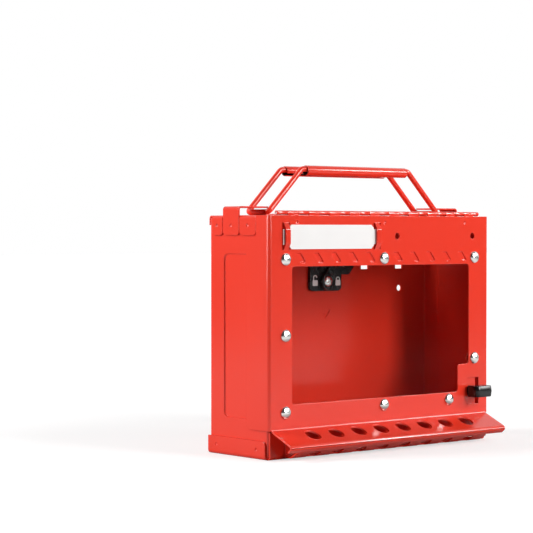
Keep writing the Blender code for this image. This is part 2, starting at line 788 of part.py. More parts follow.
def rib_starts():
    """The X of each rib's upper left corner: one run either side of the middle rivet."""
    room = COVER_SIDE - RIB_MIDDLE_START - RIB_WIDTH - RIB_SHIFT - RIB_END
    count = math.floor(room / RIB_PITCH) + 1
    return [start + RIB_PITCH * index for start in (from_left(RIB_LEFT_START), RIB_MIDDLE_START)
            for index in range(count)]


def bridge_places():
    left = from_left(BRIDGE_INSET)
    return (left, left + BRIDGE_SPAN)


def bridge_strip(middle):
    """A lanced strip, pushed out of the face to hold the card's tongue."""
    ramp = (BRIDGE_HEIGHT - BRIDGE_FLAT) / 2
    top = below_top(BRIDGE_TOP)
    out = FACE - BRIDGE_RISE
    path = [(FACE, top + OVERRUN), (FACE, top), (out, top - ramp),
            (out, top - ramp - BRIDGE_FLAT), (FACE, top - BRIDGE_HEIGHT),
            (FACE, top - BRIDGE_HEIGHT - OVERRUN)]
    half = BRIDGE_WIDTH / 2
    return prism("X", middle - half, middle + half, folded(path, SHEET, BEND / 2))


def build_cover_panel(paint):
    side_path = [(-COVER_SIDE, behind_face(FLANGE_DEPTH)), (-COVER_SIDE, FACE),
                 (COVER_SIDE, FACE), (COVER_SIDE, behind_face(FLANGE_DEPTH))]
    cover = add_object("cover_panel", prism("Z", FOLD, HEIGHT, folded(side_path)), paint)
    edge = FACE - SHELF_REACH
    edge_z = FOLD - SHELF_FALL
    shelf_path = [(FACE, FOLD + SHEET + BEND), (FACE, FOLD), (edge, edge_z),
                  (edge, edge_z - LIP_FALL),
                  (edge + LIP_RETURN, edge_z - LIP_FALL - LIP_RETURN_FALL)]
    half = COVER_SIDE - SHELF_INSET
    unite(cover, "shelf", [prism("X", -half, half, folded(shelf_path))])
    low, high = FACE - OVERRUN, COVER_BACK + OVERRUN
    openings = [prism("Y", low, high, window_outline())]
    latch = rectangle(LATCH_X - LATCH_SLOT_WIDTH / 2, LATCH_LOW,
                      LATCH_X + LATCH_SLOT_WIDTH / 2, LATCH_HIGH)
    openings.append(prism("Y", low, high, latch))
    plug_z = below_top(PLUG_HOLE_DROP)
    for x in (bridge_places()[1] + PLUG_HOLE_PAST, COVER_SIDE - PLUG_HOLE_EDGE):
        openings.append(rod("Y", (x, plug_z), PLUG_HOLE_RADIUS, low, high))
    openings += [rod("Y", (x, z), RIVET_SHANK_RADIUS + GAP, low, high)
                 for x, z in rivet_places()]
    slot_top = below_top(BRIDGE_TOP)
    for middle in bridge_places():
        slot = rectangle(middle - BRIDGE_SLOT_WIDTH / 2, slot_top - BRIDGE_HEIGHT,
                         middle + BRIDGE_SLOT_WIDTH / 2, slot_top)
        openings.append(prism("Y", low, high, slot))
    cut(cover, "openings", openings)
    unite(cover, "bridges", [bridge_strip(middle) for middle in bridge_places()])
    step = below_top(FLANGE_STEP)
    neck = behind_face(FRONT_TAB_START) - GAP
    rear = behind_face(FLANGE_DEPTH)
    trims = []
    for side in (-1, 1):
        inner, outer = side * (CASE_SIDE + GAP / 2), side * (COVER_SIDE + OVERRUN)
        trims.append(prism("X", inner, outer, rectangle(neck, step, rear + OVERRUN,
                                                        HEIGHT + OVERRUN)))
        centre = (rear - FLANGE_CORNER, FOLD + FLANGE_CORNER)
        turn = arc(centre, FLANGE_CORNER, -math.pi / 2, 0, CORNER_STEPS)
        past = [(rear + OVERRUN, FOLD + FLANGE_CORNER), (rear + OVERRUN, FOLD - OVERRUN),
                (rear - FLANGE_CORNER, FOLD - OVERRUN)]
        trims.append(prism("X", inner, outer, turn + past))
    cut(cover, "flange_ends", trims)
    holes = [rod("Z", (x, FACE - PADLOCK_OUT), PADLOCK_RADIUS, 0, FOLD + OVERRUN)
             for x in padlock_places()]
    cut(cover, "padlock_holes", holes)
    backs, fields = [], []
    for start in rib_starts():
        outline = rib_outline(start)
        backs.append(loft("Y", COVER_BACK - SHEET / 2, outline, COVER_BACK + RIB_DEPTH,
                          shrunk(outline, RIB_SLOPE)))
        fields.append(loft("Y", FACE - OVERRUN, outline, FACE + RIB_DEPTH,
                           shrunk(outline, RIB_SLOPE * 2)))
    unite(cover, "rib_backs", backs)
    cut(cover, "rib_fields", fields)
    dents = [dimple("Y", (WIDTH * share - COVER_SIDE, below_top(COVER_DIMPLE_DROP)), FACE, 1)
             for share in COVER_DIMPLE_SHARES]
    cut(cover, "weld_dents", dents)
    return cover


# Window, rivets and card


def rivet_places():
    """Rivets round the window; the latch shifts the two nearest to it."""
    side = WINDOW_HALF + RIVET_OUT_SIDE
    top, low = WINDOW_HIGH + RIVET_OUT_TOP, WINDOW_LOW - RIVET_OUT_BOTTOM
    middle = (WINDOW_HIGH + WINDOW_LOW) / 2
    latch_row = WINDOW_LEDGE + RIVET_LEDGE_RISE
    return [(-side, top), (0, top), (side, top), (-side, middle), (side, latch_row),
            (-side, low), (0, low), (WINDOW_STEP - RIVET_STEP_BACK, low)]


def build_pane(clear):
    side = WINDOW_HALF + PANE_LAP_SIDE
    step = WINDOW_STEP + PANE_LAP_STEP
    top, low = WINDOW_HIGH + PANE_LAP_TOP, WINDOW_LOW - PANE_LAP_BOTTOM
    ledge = WINDOW_LEDGE - PANE_LAP_LEDGE
    ear_top = WINDOW_HIGH + RIVET_OUT_TOP + PANE_EAR_RISE
    half = PANE_EAR_WIDTH / 2
    rivet = WINDOW_HALF + RIVET_OUT_SIDE
    corners = [(-side, low), (step, low), (step, ledge), (side, ledge),
               (side, ear_top), (rivet - half, ear_top), (rivet - half, top),
               (half, top), (half, ear_top), (-half, ear_top), (-half, top),
               (half - rivet, top), (half - rivet, ear_top), (-side, ear_top)]
    inner = (6, 7, 10, 11)
    radii = [0 if index in inner else PANE_CORNER for index in range(len(corners))]
    start = INNER_LAYER
    pane = prism("Y", start, start + PANE_THICKNESS, rounded(corners, radii, 3))
    pane = add_object("window_pane", pane, clear)
    holes = [rod("Y", place, RIVET_SHANK_RADIUS + GAP, start - OVERRUN,
                 start + PANE_THICKNESS + OVERRUN) for place in rivet_places()]
    return cut(pane, "rivet_holes", holes)


def rivet_solid():
    """A dome-headed rivet along +Y from the underside of its head, with its set tail."""
    grip = SHEET + GAP + PANE_THICKNESS + GAP + WASHER_THICKNESS + GAP + GAP
    dome = [math.pi / 2 * step / 4 for step in range(5)]
    profile = [(RIVET_HEAD_RADIUS * math.sin(a), -RIVET_HEAD_HEIGHT * math.cos(a)) for a in dome]
    profile[0] = (0, -RIVET_HEAD_HEIGHT)
    profile += [(RIVET_SHANK_RADIUS, 0), (RIVET_SHANK_RADIUS, grip), (RIVET_TAIL_RADIUS, grip),
                (RIVET_TAIL_RADIUS * 0.8, grip + RIVET_TAIL_HEIGHT), (0, grip + RIVET_TAIL_HEIGHT)]
    return turned("Y", (0, 0), 0, profile, TUBE_STEPS + 4)


def build_rivets(cover_axis, steel):
    rivet = rivet_solid()
    washer = prism("Y", 0, WASHER_THICKNESS, circle((0, 0), WASHER_RADIUS, TUBE_STEPS + 4))
    first_rivet = first_washer = None
    washer_y = INNER_LAYER + PANE_THICKNESS + GAP
    hole = rod("Y", (0, 0), RIVET_SHANK_RADIUS + GAP, -OVERRUN, WASHER_THICKNESS + OVERRUN)
    for number, (x, z) in enumerate(rivet_places(), 1):
        if first_rivet is None:
            first_rivet = smooth(add_object(f"window_rivet_{number}", rivet, steel))
            made = first_rivet
            first_washer = add_object(f"rivet_washer_{number}", washer, steel)
            cut(first_washer, "bore", [hole])
            ring = first_washer
            bore = first_washer.modifiers["bore"].object
        else:
            made = first_rivet.copy()
            made.name = f"window_rivet_{number}"
            bpy.context.scene.collection.objects.link(made)
            ring = first_washer.copy()
            ring.name = f"rivet_washer_{number}"
            bpy.context.scene.collection.objects.link(ring)
            own_bore = bore.copy()
            own_bore.name = f"{ring.name}_bore_guide"
            bpy.context.scene.collection.objects.link(own_bore)
            own_bore.parent = ring
            ring.modifiers["bore"].object = own_bore
        carry(cover_axis, made, (x, FACE - GAP, z))
        carry(cover_axis, ring, (x, washer_y, z))


def build_card(white):
    """The write-on card: chamfered corners, and a tongue under each bridge."""
    left, right = bridge_places()
    inner_left = left + BRIDGE_WIDTH / 2 + GAP
    inner_right = right - BRIDGE_WIDTH / 2 - CARD_RIGHT_CLEAR
    top, low = below_top(CARD_TOP), below_top(CARD_TOP + CARD_HEIGHT)
    middle = (top + low) / 2
    tongue = CARD_TONGUE_HEIGHT / 2
    outer_left = left - BRIDGE_WIDTH / 2 - CARD_TONGUE_PAST
    outer_right = right + BRIDGE_WIDTH / 2
    cham = CARD_CHAMFER
    corners = [(inner_left + cham, low), (inner_right - cham, low), (inner_right, low + cham),
               (inner_right, middle - tongue), (outer_right, middle - tongue),
               (outer_right, middle + tongue), (inner_right, middle + tongue),
               (inner_right, top - cham), (inner_right - cham, top), (inner_left + cham, top),
               (inner_left, top - cham), (inner_left, middle + tongue),
               (outer_left, middle + tongue), (outer_left, middle - tongue),
               (inner_left, middle - tongue), (inner_left, low + cham)]
    card = prism("Y", FACE - GAP - CARD_THICKNESS, FACE - GAP, corners)
    return add_object("label_card", card, white)


# Cover latch: a knob in front of the sheet, a hooked slide behind it and a fixed keeper


def build_latch(latch_axis, steel_paint, black, steel):
    stem_back = INNER_LAYER - GAP
    knob = box((LATCH_X - KNOB_WIDTH / 2, FACE - GAP - KNOB_DEPTH, LATCH_Z - KNOB_HEIGHT / 2),
               (LATCH_X + KNOB_WIDTH / 2, FACE - GAP, LATCH_Z + KNOB_HEIGHT / 2))
    bmesh.ops.bevel(knob, geom=knob.edges[:], offset=KNOB_ROUNDING, segments=3, profile=0.5,
                    affect="EDGES")
    knob = add_object("latch_knob", knob, black)
    stem = box((LATCH_X - LATCH_STEM_WIDTH / 2, FACE - KNOB_DEPTH / 2,
                LATCH_Z - LATCH_STEM_HEIGHT / 2),
               (LATCH_X + LATCH_STEM_WIDTH / 2, stem_back, LATCH_Z + LATCH_STEM_HEIGHT / 2))
    unite(knob, "stem", [stem])
    bore_end = stem_back - LATCH_RIVET_DEPTH
    bore = rod("Y", (LATCH_X, LATCH_Z), LATCH_RIVET_RADIUS + GAP, bore_end - GAP,
               stem_back + OVERRUN, TUBE_STEPS)
    cut(knob, "rivet_bore", [bore])
    carry(latch_axis, smooth(knob))

    right = COVER_SIDE - SLIDE_RIGHT
    foot = LATCH_LOW - SLIDE_PAST_BOTTOM
    slide = box((right - SLIDE_WIDTH, INNER_LAYER, foot),
                (right, INNER_LAYER + SHEET, LATCH_HIGH + SLIDE_PAST_TOP))
    slide = add_object("latch_slide", slide, steel_paint)
    hook_y = INNER_LAYER + HOOK_BACK
    hook_path = [(INNER_LAYER, foot + SHEET * 3), (INNER_LAYER, foot),
                 (hook_y - SHEET, foot), (hook_y - SHEET, foot - HOOK_DROP)]
    half = HOOK_WIDTH / 2
    hook = prism("X", LATCH_X - half, LATCH_X + half, folded(hook_path, SHEET, BEND / 3))
    unite(slide, "hook", [hook])
    cut(slide, "rivet_hole", [rod("Y", (LATCH_X, LATCH_Z), LATCH_RIVET_RADIUS + GAP,
                                  INNER_LAYER - OVERRUN, INNER_LAYER + SHEET + OVERRUN,
                                  TUBE_STEPS)])
    carry(latch_axis, slide)

    back = INNER_LAYER + SHEET + GAP
    tail = LATCH_RIVET_HEAD_HEIGHT
    profile = [(0, tail), (LATCH_RIVET_HEAD * 0.7, tail), (LATCH_RIVET_HEAD, 0),
               (LATCH_RIVET_RADIUS, 0), (LATCH_RIVET_RADIUS, bore_end - back + GAP),
               (0, bore_end - back + GAP)]
    rivet = turned("Y", (LATCH_X, LATCH_Z), back, profile, TUBE_STEPS)
    carry(latch_axis, smooth(add_object("latch_rivet", rivet, steel)))


def build_keeper(paint):
    """The steel tongue that the latch hook drops behind, welded inside the pan's front."""
    near = CASE_FRONT
    return add_object("latch_keeper", box((LATCH_X - KEEPER_WIDTH / 2, near, KEEPER_BASE),
                                          (LATCH_X + KEEPER_WIDTH / 2, near + SHEET,
                                           KEEPER_TOP)), paint)


# Carrying handle: one closed wire loop with a rolled sheet grip on each bar


def wire_route():
    """Points round the loop, each corner turned on an arc in the plane of its two legs."""
    front, rear = STRAP_Y - WIRE_SPREAD, STRAP_Y + WIRE_SPREAD
    foot, shoulder = COVER_SIDE - WIRE_FOOT, COVER_SIDE - WIRE_SHOULDER
    corners = [(-shoulder, front, WIRE_TOP_Z), (shoulder, front, WIRE_TOP_Z),
               (foot, front, WIRE_FOOT_Z), (foot, rear, WIRE_FOOT_Z),
               (shoulder, rear, WIRE_TOP_Z), (-shoulder, rear, WIRE_TOP_Z),
               (-foot, rear, WIRE_FOOT_Z), (-foot, front, WIRE_FOOT_Z)]
    corners = [Vector(corner) for corner in corners]
    route = []
    for index, here in enumerate(corners):
        back = (corners[index - 1] - here).normalized()
        ahead = (corners[(index + 1) % len(corners)] - here).normalized()
        half = back.angle(ahead) / 2
        middle = here + (back + ahead).normalized() * WIRE_BEND / math.sin(half)
        start = here + back * WIRE_BEND / math.tan(half) - middle
        end = here + ahead * WIRE_BEND / math.tan(half) - middle
        turn = start.angle(end)
        for step in range(CORNER_STEPS + 1):
            share = step / CORNER_STEPS
            blend = start * math.sin((1 - share) * turn) + end * math.sin(share * turn)
            route.append(middle + blend / math.sin(turn))
    return route


def build_handle(handle_axis, paint):
    curve = bpy.data.curves.new("handle_wire", "CURVE")
    curve.dimensions = "3D"
    curve.bevel_depth = WIRE_RADIUS
    curve.bevel_resolution = 3
    line = curve.splines.new("POLY")
    route = wire_route()
    line.points.add(len(route) - 1)
    for point, place in zip(line.points, route):
        point.co = (*place, 1)
    line.use_cyclic_u = True
    curve.materials.append(paint)
    wire = bpy.data.objects.new("handle_wire", curve)
    bpy.context.scene.collection.objects.link(wire)
    carry(handle_axis, wire)

    inner = GRIP_RADIUS - GRIP_SHEET
    hang = inner - WIRE_RADIUS - GAP
    start = -math.pi / 2 + GRIP_OPEN_ANGLE / 2
    end = math.pi * 3 / 2 - GRIP_OPEN_ANGLE / 2
    outline = arc((0, 0), GRIP_RADIUS, start, end, GRIP_STEPS)
    outline += arc((0, 0), inner, end, start, GRIP_STEPS)
    half = GRIP_LENGTH / 2
    for name, side in (("grip_front", -1), ("grip_rear", 1)):
        grip = smooth(add_object(name, prism("X", -half, half, outline), paint))
        carry(handle_axis, grip, (0, STRAP_Y + side * WIRE_SPREAD, WIRE_TOP_Z - hang))


# Turn lock that holds the box to its wall bracket


def lever_outline():
    """The lever in X and Z about its bolt, pointing along +X: hub, neck, wide tapered end."""
    root, end = LEVER_ROOT_WIDTH / 2, LEVER_END_WIDTH / 2
    meet = math.asin(root / LEVER_HUB_RADIUS)
    hub = arc((0, 0), LEVER_HUB_RADIUS, meet, math.tau - meet, CORNER_STEPS * 4)
    cham = LEVER_END_CHAMFER
    blade = [(LEVER_LENGTH - cham, -end), (LEVER_LENGTH, -end + cham),
             (LEVER_LENGTH, end - cham / 2), (LEVER_LENGTH - cham / 2, end)]
    widen = [(LEVER_LENGTH / 2, -end)]
    return hub + widen + blade + [(LEVER_LENGTH / 2, end)]


def turned_by(outline, angle):
    return [(a * math.cos(angle) - b * math.sin(angle), a * math.sin(angle) + b * math.cos(angle))
            for a, b in outline]


def build_lock(lock_axis, black, steel):
    base_back = WALL_INSIDE - GAP
    base_front = base_back - LOCK_BASE_THICKNESS
    half = LOCK_BASE_WIDTH / 2
    corners = rectangle(-half, LOCK_Z - LOCK_BASE_BOTTOM, half, LOCK_Z + LOCK_BASE_TOP)
    base = prism("Y", base_front, base_back, rounded(corners, [LOCK_BASE_CORNER] * 4))
    base = add_object("lock_base", base, black)
    cut(base, "bore", [rod("Y", (0, LOCK_Z), LOCK_SHANK_RADIUS + GAP, base_front - OVERRUN,
                           base_back + OVERRUN)])

    lever_back = base_front - GAP
    lever_front = lever_back - LEVER_THICKNESS
    outline = [(x, LOCK_Z + z) for x, z in turned_by(lever_outline(), LEVER_ANGLE)]
    lever = add_object("lock_lever", prism("Y", lever_front, lever_back, outline), black)
    seat = lever_front + LOCK_HEAD_SINK
    cut(lever, "head_seat", [rod("Y", (0, LOCK_Z), LOCK_HEAD_RADIUS + GAP,
                                 lever_front - OVERRUN, seat)])
    cut(lever, "bore", [rod("Y", (0, LOCK_Z), LOCK_SHANK_RADIUS + GAP, lever_front - OVERRUN,
                            lever_back + OVERRUN)])
    carry(lock_axis, lever)

    cam_front = BACK + GAP
    cam_back = cam_front + CAM_THICKNESS
    tip = CAM_TIP_WIDTH / 2
    meet = math.asin(tip / CAM_HUB_RADIUS)
    cam_outline = arc((0, 0), CAM_HUB_RADIUS, meet, math.tau - meet, CORNER_STEPS * 3)
    cam_outline += arc((CAM_LENGTH - tip, 0), tip, -math.pi / 2, math.pi / 2, CORNER_STEPS * 2)
    cam_outline = [(x, LOCK_Z + z) for x, z in turned_by(cam_outline, LEVER_ANGLE)]
    cam = add_object("lock_cam", prism("Y", cam_front, cam_back, cam_outline), steel)
    cut(cam, "bore", [rod("Y", (0, LOCK_Z), LOCK_SHANK_RADIUS + GAP, cam_front - OVERRUN,
                          cam_back + OVERRUN)])
    carry(lock_axis, cam)

    head_base = seat - GAP
    shank = cam_back - head_base
    dome = [math.pi / 2 * step / 4 for step in range(5)]
    profile = [(LOCK_HEAD_RADIUS * math.sin(a), -LOCK_HEAD_HEIGHT * math.cos(a)) for a in dome]
    profile[0] = (0, -LOCK_HEAD_HEIGHT)
    profile += [(LOCK_SHANK_RADIUS, 0), (LOCK_SHANK_RADIUS, shank), (0, shank)]
    bolt = turned("Y", (0, LOCK_Z), head_base, profile, HOLE_STEPS)
    carry(lock_axis, smooth(add_object("lock_bolt", bolt, steel)))


def main():
    clear_scene()
    paint = finish("red_powder_coat", (0.83, 0.045, 0.028), 0.28)
    steel = finish("bright_steel", (0.76, 0.76, 0.74), 0.22, 1.0)
    black = finish("black_plastic", (0.012, 0.012, 0.013), 0.35)
    white = finish("white_card", (0.88, 0.87, 0.86), 0.45)
    clear = finish("clear_pane", (0.93, 0.95, 0.95), 0.05, 0.0, 0.25)

    cover_axis = empty("cover_axis", (0, HINGE_Y, HINGE_Z))
    latch_axis = carry(cover_axis, empty("latch_axis", (0, 0, 0)), (LATCH_X, FACE, LATCH_Z))
    handle_axis = empty("handle_axis", (0, STRAP_Y, WIRE_FOOT_Z))
    lock_axis = empty("lock_axis", (0, WALL_INSIDE, LOCK_Z))

    build_case(paint)
    build_top_panel(paint)
    build_strap("handle_strap_left", -1, paint)
    build_strap("handle_strap_right", 1, paint)
    build_floor_pan(paint)
    build_hasp_plate(paint)
    build_keeper(paint)
    build_hinge(cover_axis, paint, steel)
    carry(cover_axis, build_cover_panel(paint))
    carry(cover_axis, build_pane(clear))
    build_rivets(cover_axis, steel)
    carry(cover_axis, build_card(white))
    build_latch(latch_axis, paint, black, steel)
    build_handle(handle_axis, paint)
    build_lock(lock_axis, black, steel)


main()
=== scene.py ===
"""Looks for the group lockout box: powder coated sheet steel, a clear window, bright rivets.

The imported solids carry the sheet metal. What is added here is round or soft-edged on the real
box: rivet heads, the handle's wire and grips, the latch knob, and the turn lock's parts and marks.
"""

import math

import bmesh
import bpy
import numpy as np
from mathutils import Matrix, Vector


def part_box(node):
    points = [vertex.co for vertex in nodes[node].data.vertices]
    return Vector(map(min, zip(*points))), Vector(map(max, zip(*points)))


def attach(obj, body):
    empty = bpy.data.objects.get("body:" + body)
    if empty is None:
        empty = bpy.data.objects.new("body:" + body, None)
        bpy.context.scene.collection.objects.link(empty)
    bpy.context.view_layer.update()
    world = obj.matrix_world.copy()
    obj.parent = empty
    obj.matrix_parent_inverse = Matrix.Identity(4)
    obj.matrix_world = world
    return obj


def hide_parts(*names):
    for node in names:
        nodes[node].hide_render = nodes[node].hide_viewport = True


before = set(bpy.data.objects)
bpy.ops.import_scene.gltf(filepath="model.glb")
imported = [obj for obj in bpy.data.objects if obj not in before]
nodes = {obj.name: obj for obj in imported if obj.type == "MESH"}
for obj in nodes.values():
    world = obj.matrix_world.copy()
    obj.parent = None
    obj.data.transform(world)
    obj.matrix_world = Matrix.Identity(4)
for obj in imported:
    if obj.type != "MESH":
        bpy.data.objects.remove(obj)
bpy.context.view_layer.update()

# Case, cover and padlock plates: 1.5 mm sheet steel, cut, folded and spot welded, then powder
# coated together. The coat is a glossy orange-red with a fine orange peel. It rounds every cut
# edge, and the light picks those edges out.
COAT_RED = (0.84, 0.043, 0.020, 1.0)
COAT_RED_DEEP = (0.80, 0.038, 0.017, 1.0)
COAT_ROUGHNESS = 0.17
COAT_ROUGHER = 0.03
PEEL_SCALE = 380.0
PEEL_DEPTH = 0.00009
CLOUD_SCALE = 9.0
COAT_EDGE = 0.0005
EDGE_SAMPLES = 8
NOISE_BODY = (0.2, 0.8)
RELIEF_STRENGTH = 0.5
WELD_REACH = 0.000002
FOLD_START = math.radians(16.5)
FOLD_LIMIT = math.radians(38)
SHEET_NODES = ("case_shell", "top_panel", "bottom_pan", "hasp_plate", "cover_panel",
               "handle_strap_left", "handle_strap_right", "latch_keeper", "latch_slide")


def node_material(name, metallic=0.0, roughness=0.4):
    """A Principled material and its shader node."""
    material = bpy.data.materials.new(name)
    material.use_nodes = True
    shader = material.node_tree.nodes["Principled BSDF"]
    shader.inputs["Metallic"].default_value = metallic
    shader.inputs["Roughness"].default_value = roughness
    return material, shader


def add_node(owner, kind, **values):
    """A node with its settings and unlinked sockets filled in by name."""
    made = owner.node_tree.nodes.new(kind)
    for key, value in values.items():
        if key in made.inputs:
            made.inputs[key].default_value = value
        else:
            setattr(made, key, value)
    return made


def join_nodes(owner, *pairs):
    """Links from each source socket to its target."""
    for source, target in pairs:
        owner.node_tree.links.new(source, target)


def spread_over(owner, value, start, end, low, high, curve="LINEAR"):
    """A value that goes from low to high as another goes from start to end, held past both."""
    change = add_node(owner, "ShaderNodeMapRange", interpolation_type=curve)
    for socket, number in zip(("From Min", "From Max", "To Min", "To Max"),
                              (start, end, low, high)):
        change.inputs[socket].default_value = number
    join_nodes(owner, (value, change.inputs["Value"]))
    return change.outputs["Result"]


def noise_field(material, scale, detail=2.0):
    """Noise over the object's own coordinates."""
    place = add_node(material, "ShaderNodeTexCoord")
    noise = add_node(material, "ShaderNodeTexNoise", Scale=scale, Detail=detail)
    join_nodes(material, (place.outputs["Object"], noise.inputs["Vector"]))
    return noise.outputs["Fac"]


def shade_between(material, field, low, high):
    """A smooth ramp between two close shades."""
    ramp = add_node(material, "ShaderNodeValToRGB")
    ramp.color_ramp.interpolation = "B_SPLINE"
    for element, shade, position in zip(ramp.color_ramp.elements, (low, high), NOISE_BODY):
        element.color = shade
        element.position = position
    join_nodes(material, (field, ramp.inputs["Fac"]))
    return ramp.outputs["Color"]


def range_of(material, field, low, high):
    """Noise spread over a range of numbers."""
    return spread_over(material, field, *NOISE_BODY, low, high)


def relief(material, shader, field, distance, edge=0.0):
    """Fine relief on the surface, over edges that are broken to a small radius."""
    bump = add_node(material, "ShaderNodeBump", Strength=RELIEF_STRENGTH, Distance=distance)
    join_nodes(material, (field, bump.inputs["Height"]),
               (bump.outputs["Normal"], shader.inputs["Normal"]))
    if edge:
        soft = add_node(material, "ShaderNodeBevel", samples=EDGE_SAMPLES, Radius=edge)
        join_nodes(material, (soft.outputs["Normal"], bump.inputs["Normal"]))


def powder_coat(name, edge=COAT_EDGE):
    """Red coat with faint clouds, orange peel and a small radius on its edges."""
    material, shader = node_material(name)
    cloud = noise_field(material, CLOUD_SCALE, detail=1.0)
    join_nodes(material,
               (shade_between(material, cloud, COAT_RED_DEEP, COAT_RED),
                shader.inputs["Base Color"]),
               (range_of(material, cloud, COAT_ROUGHNESS, COAT_ROUGHNESS + COAT_ROUGHER),
                shader.inputs["Roughness"]))
    relief(material, shader, noise_field(material, PEEL_SCALE, detail=1.0), PEEL_DEPTH, edge)
    return material


def fold_shading():
    """Geometry nodes that join a sheet's loose triangles and shade its bends smooth.

    Points closer than the weld reach become one. An edge is shaded smooth when it turns more
    than a bend's first step off the flat and less than the fold limit, and otherwise sharp.
    """
    tree = bpy.data.node_groups.new("fold_shading", "GeometryNodeTree")
    for way in ("INPUT", "OUTPUT"):
        tree.interface.new_socket("Geometry", in_out=way, socket_type="NodeSocketGeometry")
    made = {key: tree.nodes.new(kind) for key, kind in (
        ("enter", "NodeGroupInput"), ("weld", "GeometryNodeMergeByDistance"),
        ("bare", "GeometryNodeRemoveAttribute"), ("faces", "GeometryNodeSetShadeSmooth"),
        ("angle", "GeometryNodeInputMeshEdgeAngle"), ("under", "FunctionNodeCompare"),
        ("over", "FunctionNodeCompare"), ("both", "FunctionNodeBooleanMath"),
        ("edges", "GeometryNodeSetShadeSmooth"), ("leave", "NodeGroupOutput"))}
    made["weld"].inputs["Distance"].default_value = WELD_REACH
    made["bare"].inputs["Name"].default_value = "custom_normal"
    made["edges"].domain = "EDGE"
    made["under"].operation = "LESS_THAN"
    made["under"].inputs["B"].default_value = FOLD_LIMIT
    made["over"].operation = "GREATER_THAN"
    made["over"].inputs["B"].default_value = FOLD_START
    run = ("enter", "weld", "bare", "faces", "edges", "leave")
    for before, after in zip(run, run[1:]):
        tree.links.new(made[before].outputs["Geometry"], made[after].inputs["Geometry"])
    for number, key in enumerate(("under", "over")):
        tree.links.new(made["angle"].outputs["Unsigned Angle"], made[key].inputs["A"])
        tree.links.new(made[key].outputs["Result"], made["both"].inputs[number])
    tree.links.new(made["both"].outputs["Boolean"], made["edges"].inputs["Shade Smooth"])
    return tree


folds = fold_shading()


def shade_folds(name):
    """Give a packed sheet smooth bends between flat fields."""
    change = nodes[name].modifiers.new("fold_shading", "NODES")
    change.node_group = folds


coat = powder_coat("red_powder_coat_sheet")
for name in SHEET_NODES:
    nodes[name].data.materials[0] = coat
    shade_folds(name)

# Piano hinge: two strips with rolled knuckles, cut from one length, on a plain steel pin. They
# are welded on before the coat. The latch's rivet and the lock's cam are plain steel too.
HINGE_EDGE = COAT_EDGE / 3
hinge_coat = powder_coat("red_powder_coat_hinge", HINGE_EDGE)
for name in ("hinge_leaf_case", "hinge_leaf_cover"):
    nodes[name].data.materials[0] = hinge_coat
    shade_folds(name)
STEEL_LIGHT = (0.84, 0.84, 0.82, 1.0)
STEEL_DARK = (0.70, 0.70, 0.68, 1.0)
STEEL_ROUGHER = 0.08
STEEL_CLOUD_SCALE = 260.0
STEEL_GRAIN_SCALE = 700.0
STEEL_GRAIN_DEPTH = 0.00002
PIN_ROUGHNESS = 0.22


def bright_steel(name, roughness):
    """Bare steel with a fine grain."""
    material, shader = node_material(name, 1.0)
    field = noise_field(material, STEEL_CLOUD_SCALE)
    join_nodes(material, (shade_between(material, field, STEEL_DARK, STEEL_LIGHT),
                          shader.inputs["Base Color"]),
               (range_of(material, field, roughness, roughness + STEEL_ROUGHER),
                shader.inputs["Roughness"]))
    relief(material, shader, noise_field(material, STEEL_GRAIN_SCALE), STEEL_GRAIN_DEPTH)
    return material


steel = bright_steel("bright_steel_pin", PIN_ROUGHNESS)
for name in ("hinge_pin", "latch_rivet", "lock_cam"):
    nodes[name].data.materials[0] = steel

# Window: a 3 mm clear polycarbonate sheet behind the cover, cut round the latch. Square on it
# is nearly unseen, and it turns glossy towards a grazing look.
PANE_SHADE = (0.006, 0.004, 0.004, 1.0)
PANE_ROUGHNESS = 0.03
PANE_GRAZE = 0.5
PANE_VEIL = {"start": 0.3, "end": 1.0, "low": 0.05, "high": 0.7}
PANE_WAVE_SCALE = 14.0
PANE_WAVE_DEPTH = 0.00001
pane, pane_shader = node_material("clear_pane_sheet", 0.0, PANE_ROUGHNESS)
pane_shader.inputs["Base Color"].default_value = PANE_SHADE
graze = add_node(pane, "ShaderNodeLayerWeight", Blend=PANE_GRAZE)
relief(pane, pane_shader, noise_field(pane, PANE_WAVE_SCALE, detail=1.0), PANE_WAVE_DEPTH)
join_nodes(pane, (spread_over(pane, graze.outputs["Facing"], **PANE_VEIL),
                  pane_shader.inputs["Alpha"]))
nodes["window_pane"].data.materials[0] = pane

# Window rivets: solid steel with bright dome heads in front of the cover. They hold the pane and
# are set from behind over washers, after the coat.
RIVET_HEAD = 0.0058
RIVET_DOME = 0.0026
RIVET_RIM = 0.0003
RIVET_SHANK = 0.0024
RIVET_TAIL = 0.0042
RIVET_TAIL_HEIGHT = 0.0014
RIVET_TAIL_TAPER = 0.8
RIVET_TURN = 48
RIVET_COUNT = 8
RIVET_ROUGHNESS = 0.13
DOME_STEPS = 14
DOME_EYE = 0.06
DOME_POWER = 1.15
SEAM_REACH = 0.0000005
CREASE = 50


def skin_mesh(name, points, faces, thin=False):
    """A mesh whose meeting points are merged and whose faces look outward."""
    mesh = bpy.data.meshes.new(name)
    mesh.from_pydata(points, [], faces)
    skin = bmesh.new()
    skin.from_mesh(mesh)
    bmesh.ops.remove_doubles(skin, verts=skin.verts, dist=SEAM_REACH)
    if thin:
        bmesh.ops.dissolve_degenerate(skin, edges=skin.edges, dist=SEAM_REACH)
    bmesh.ops.recalc_face_normals(skin, faces=skin.faces)
    skin.to_mesh(mesh)
    skin.free()
    return mesh


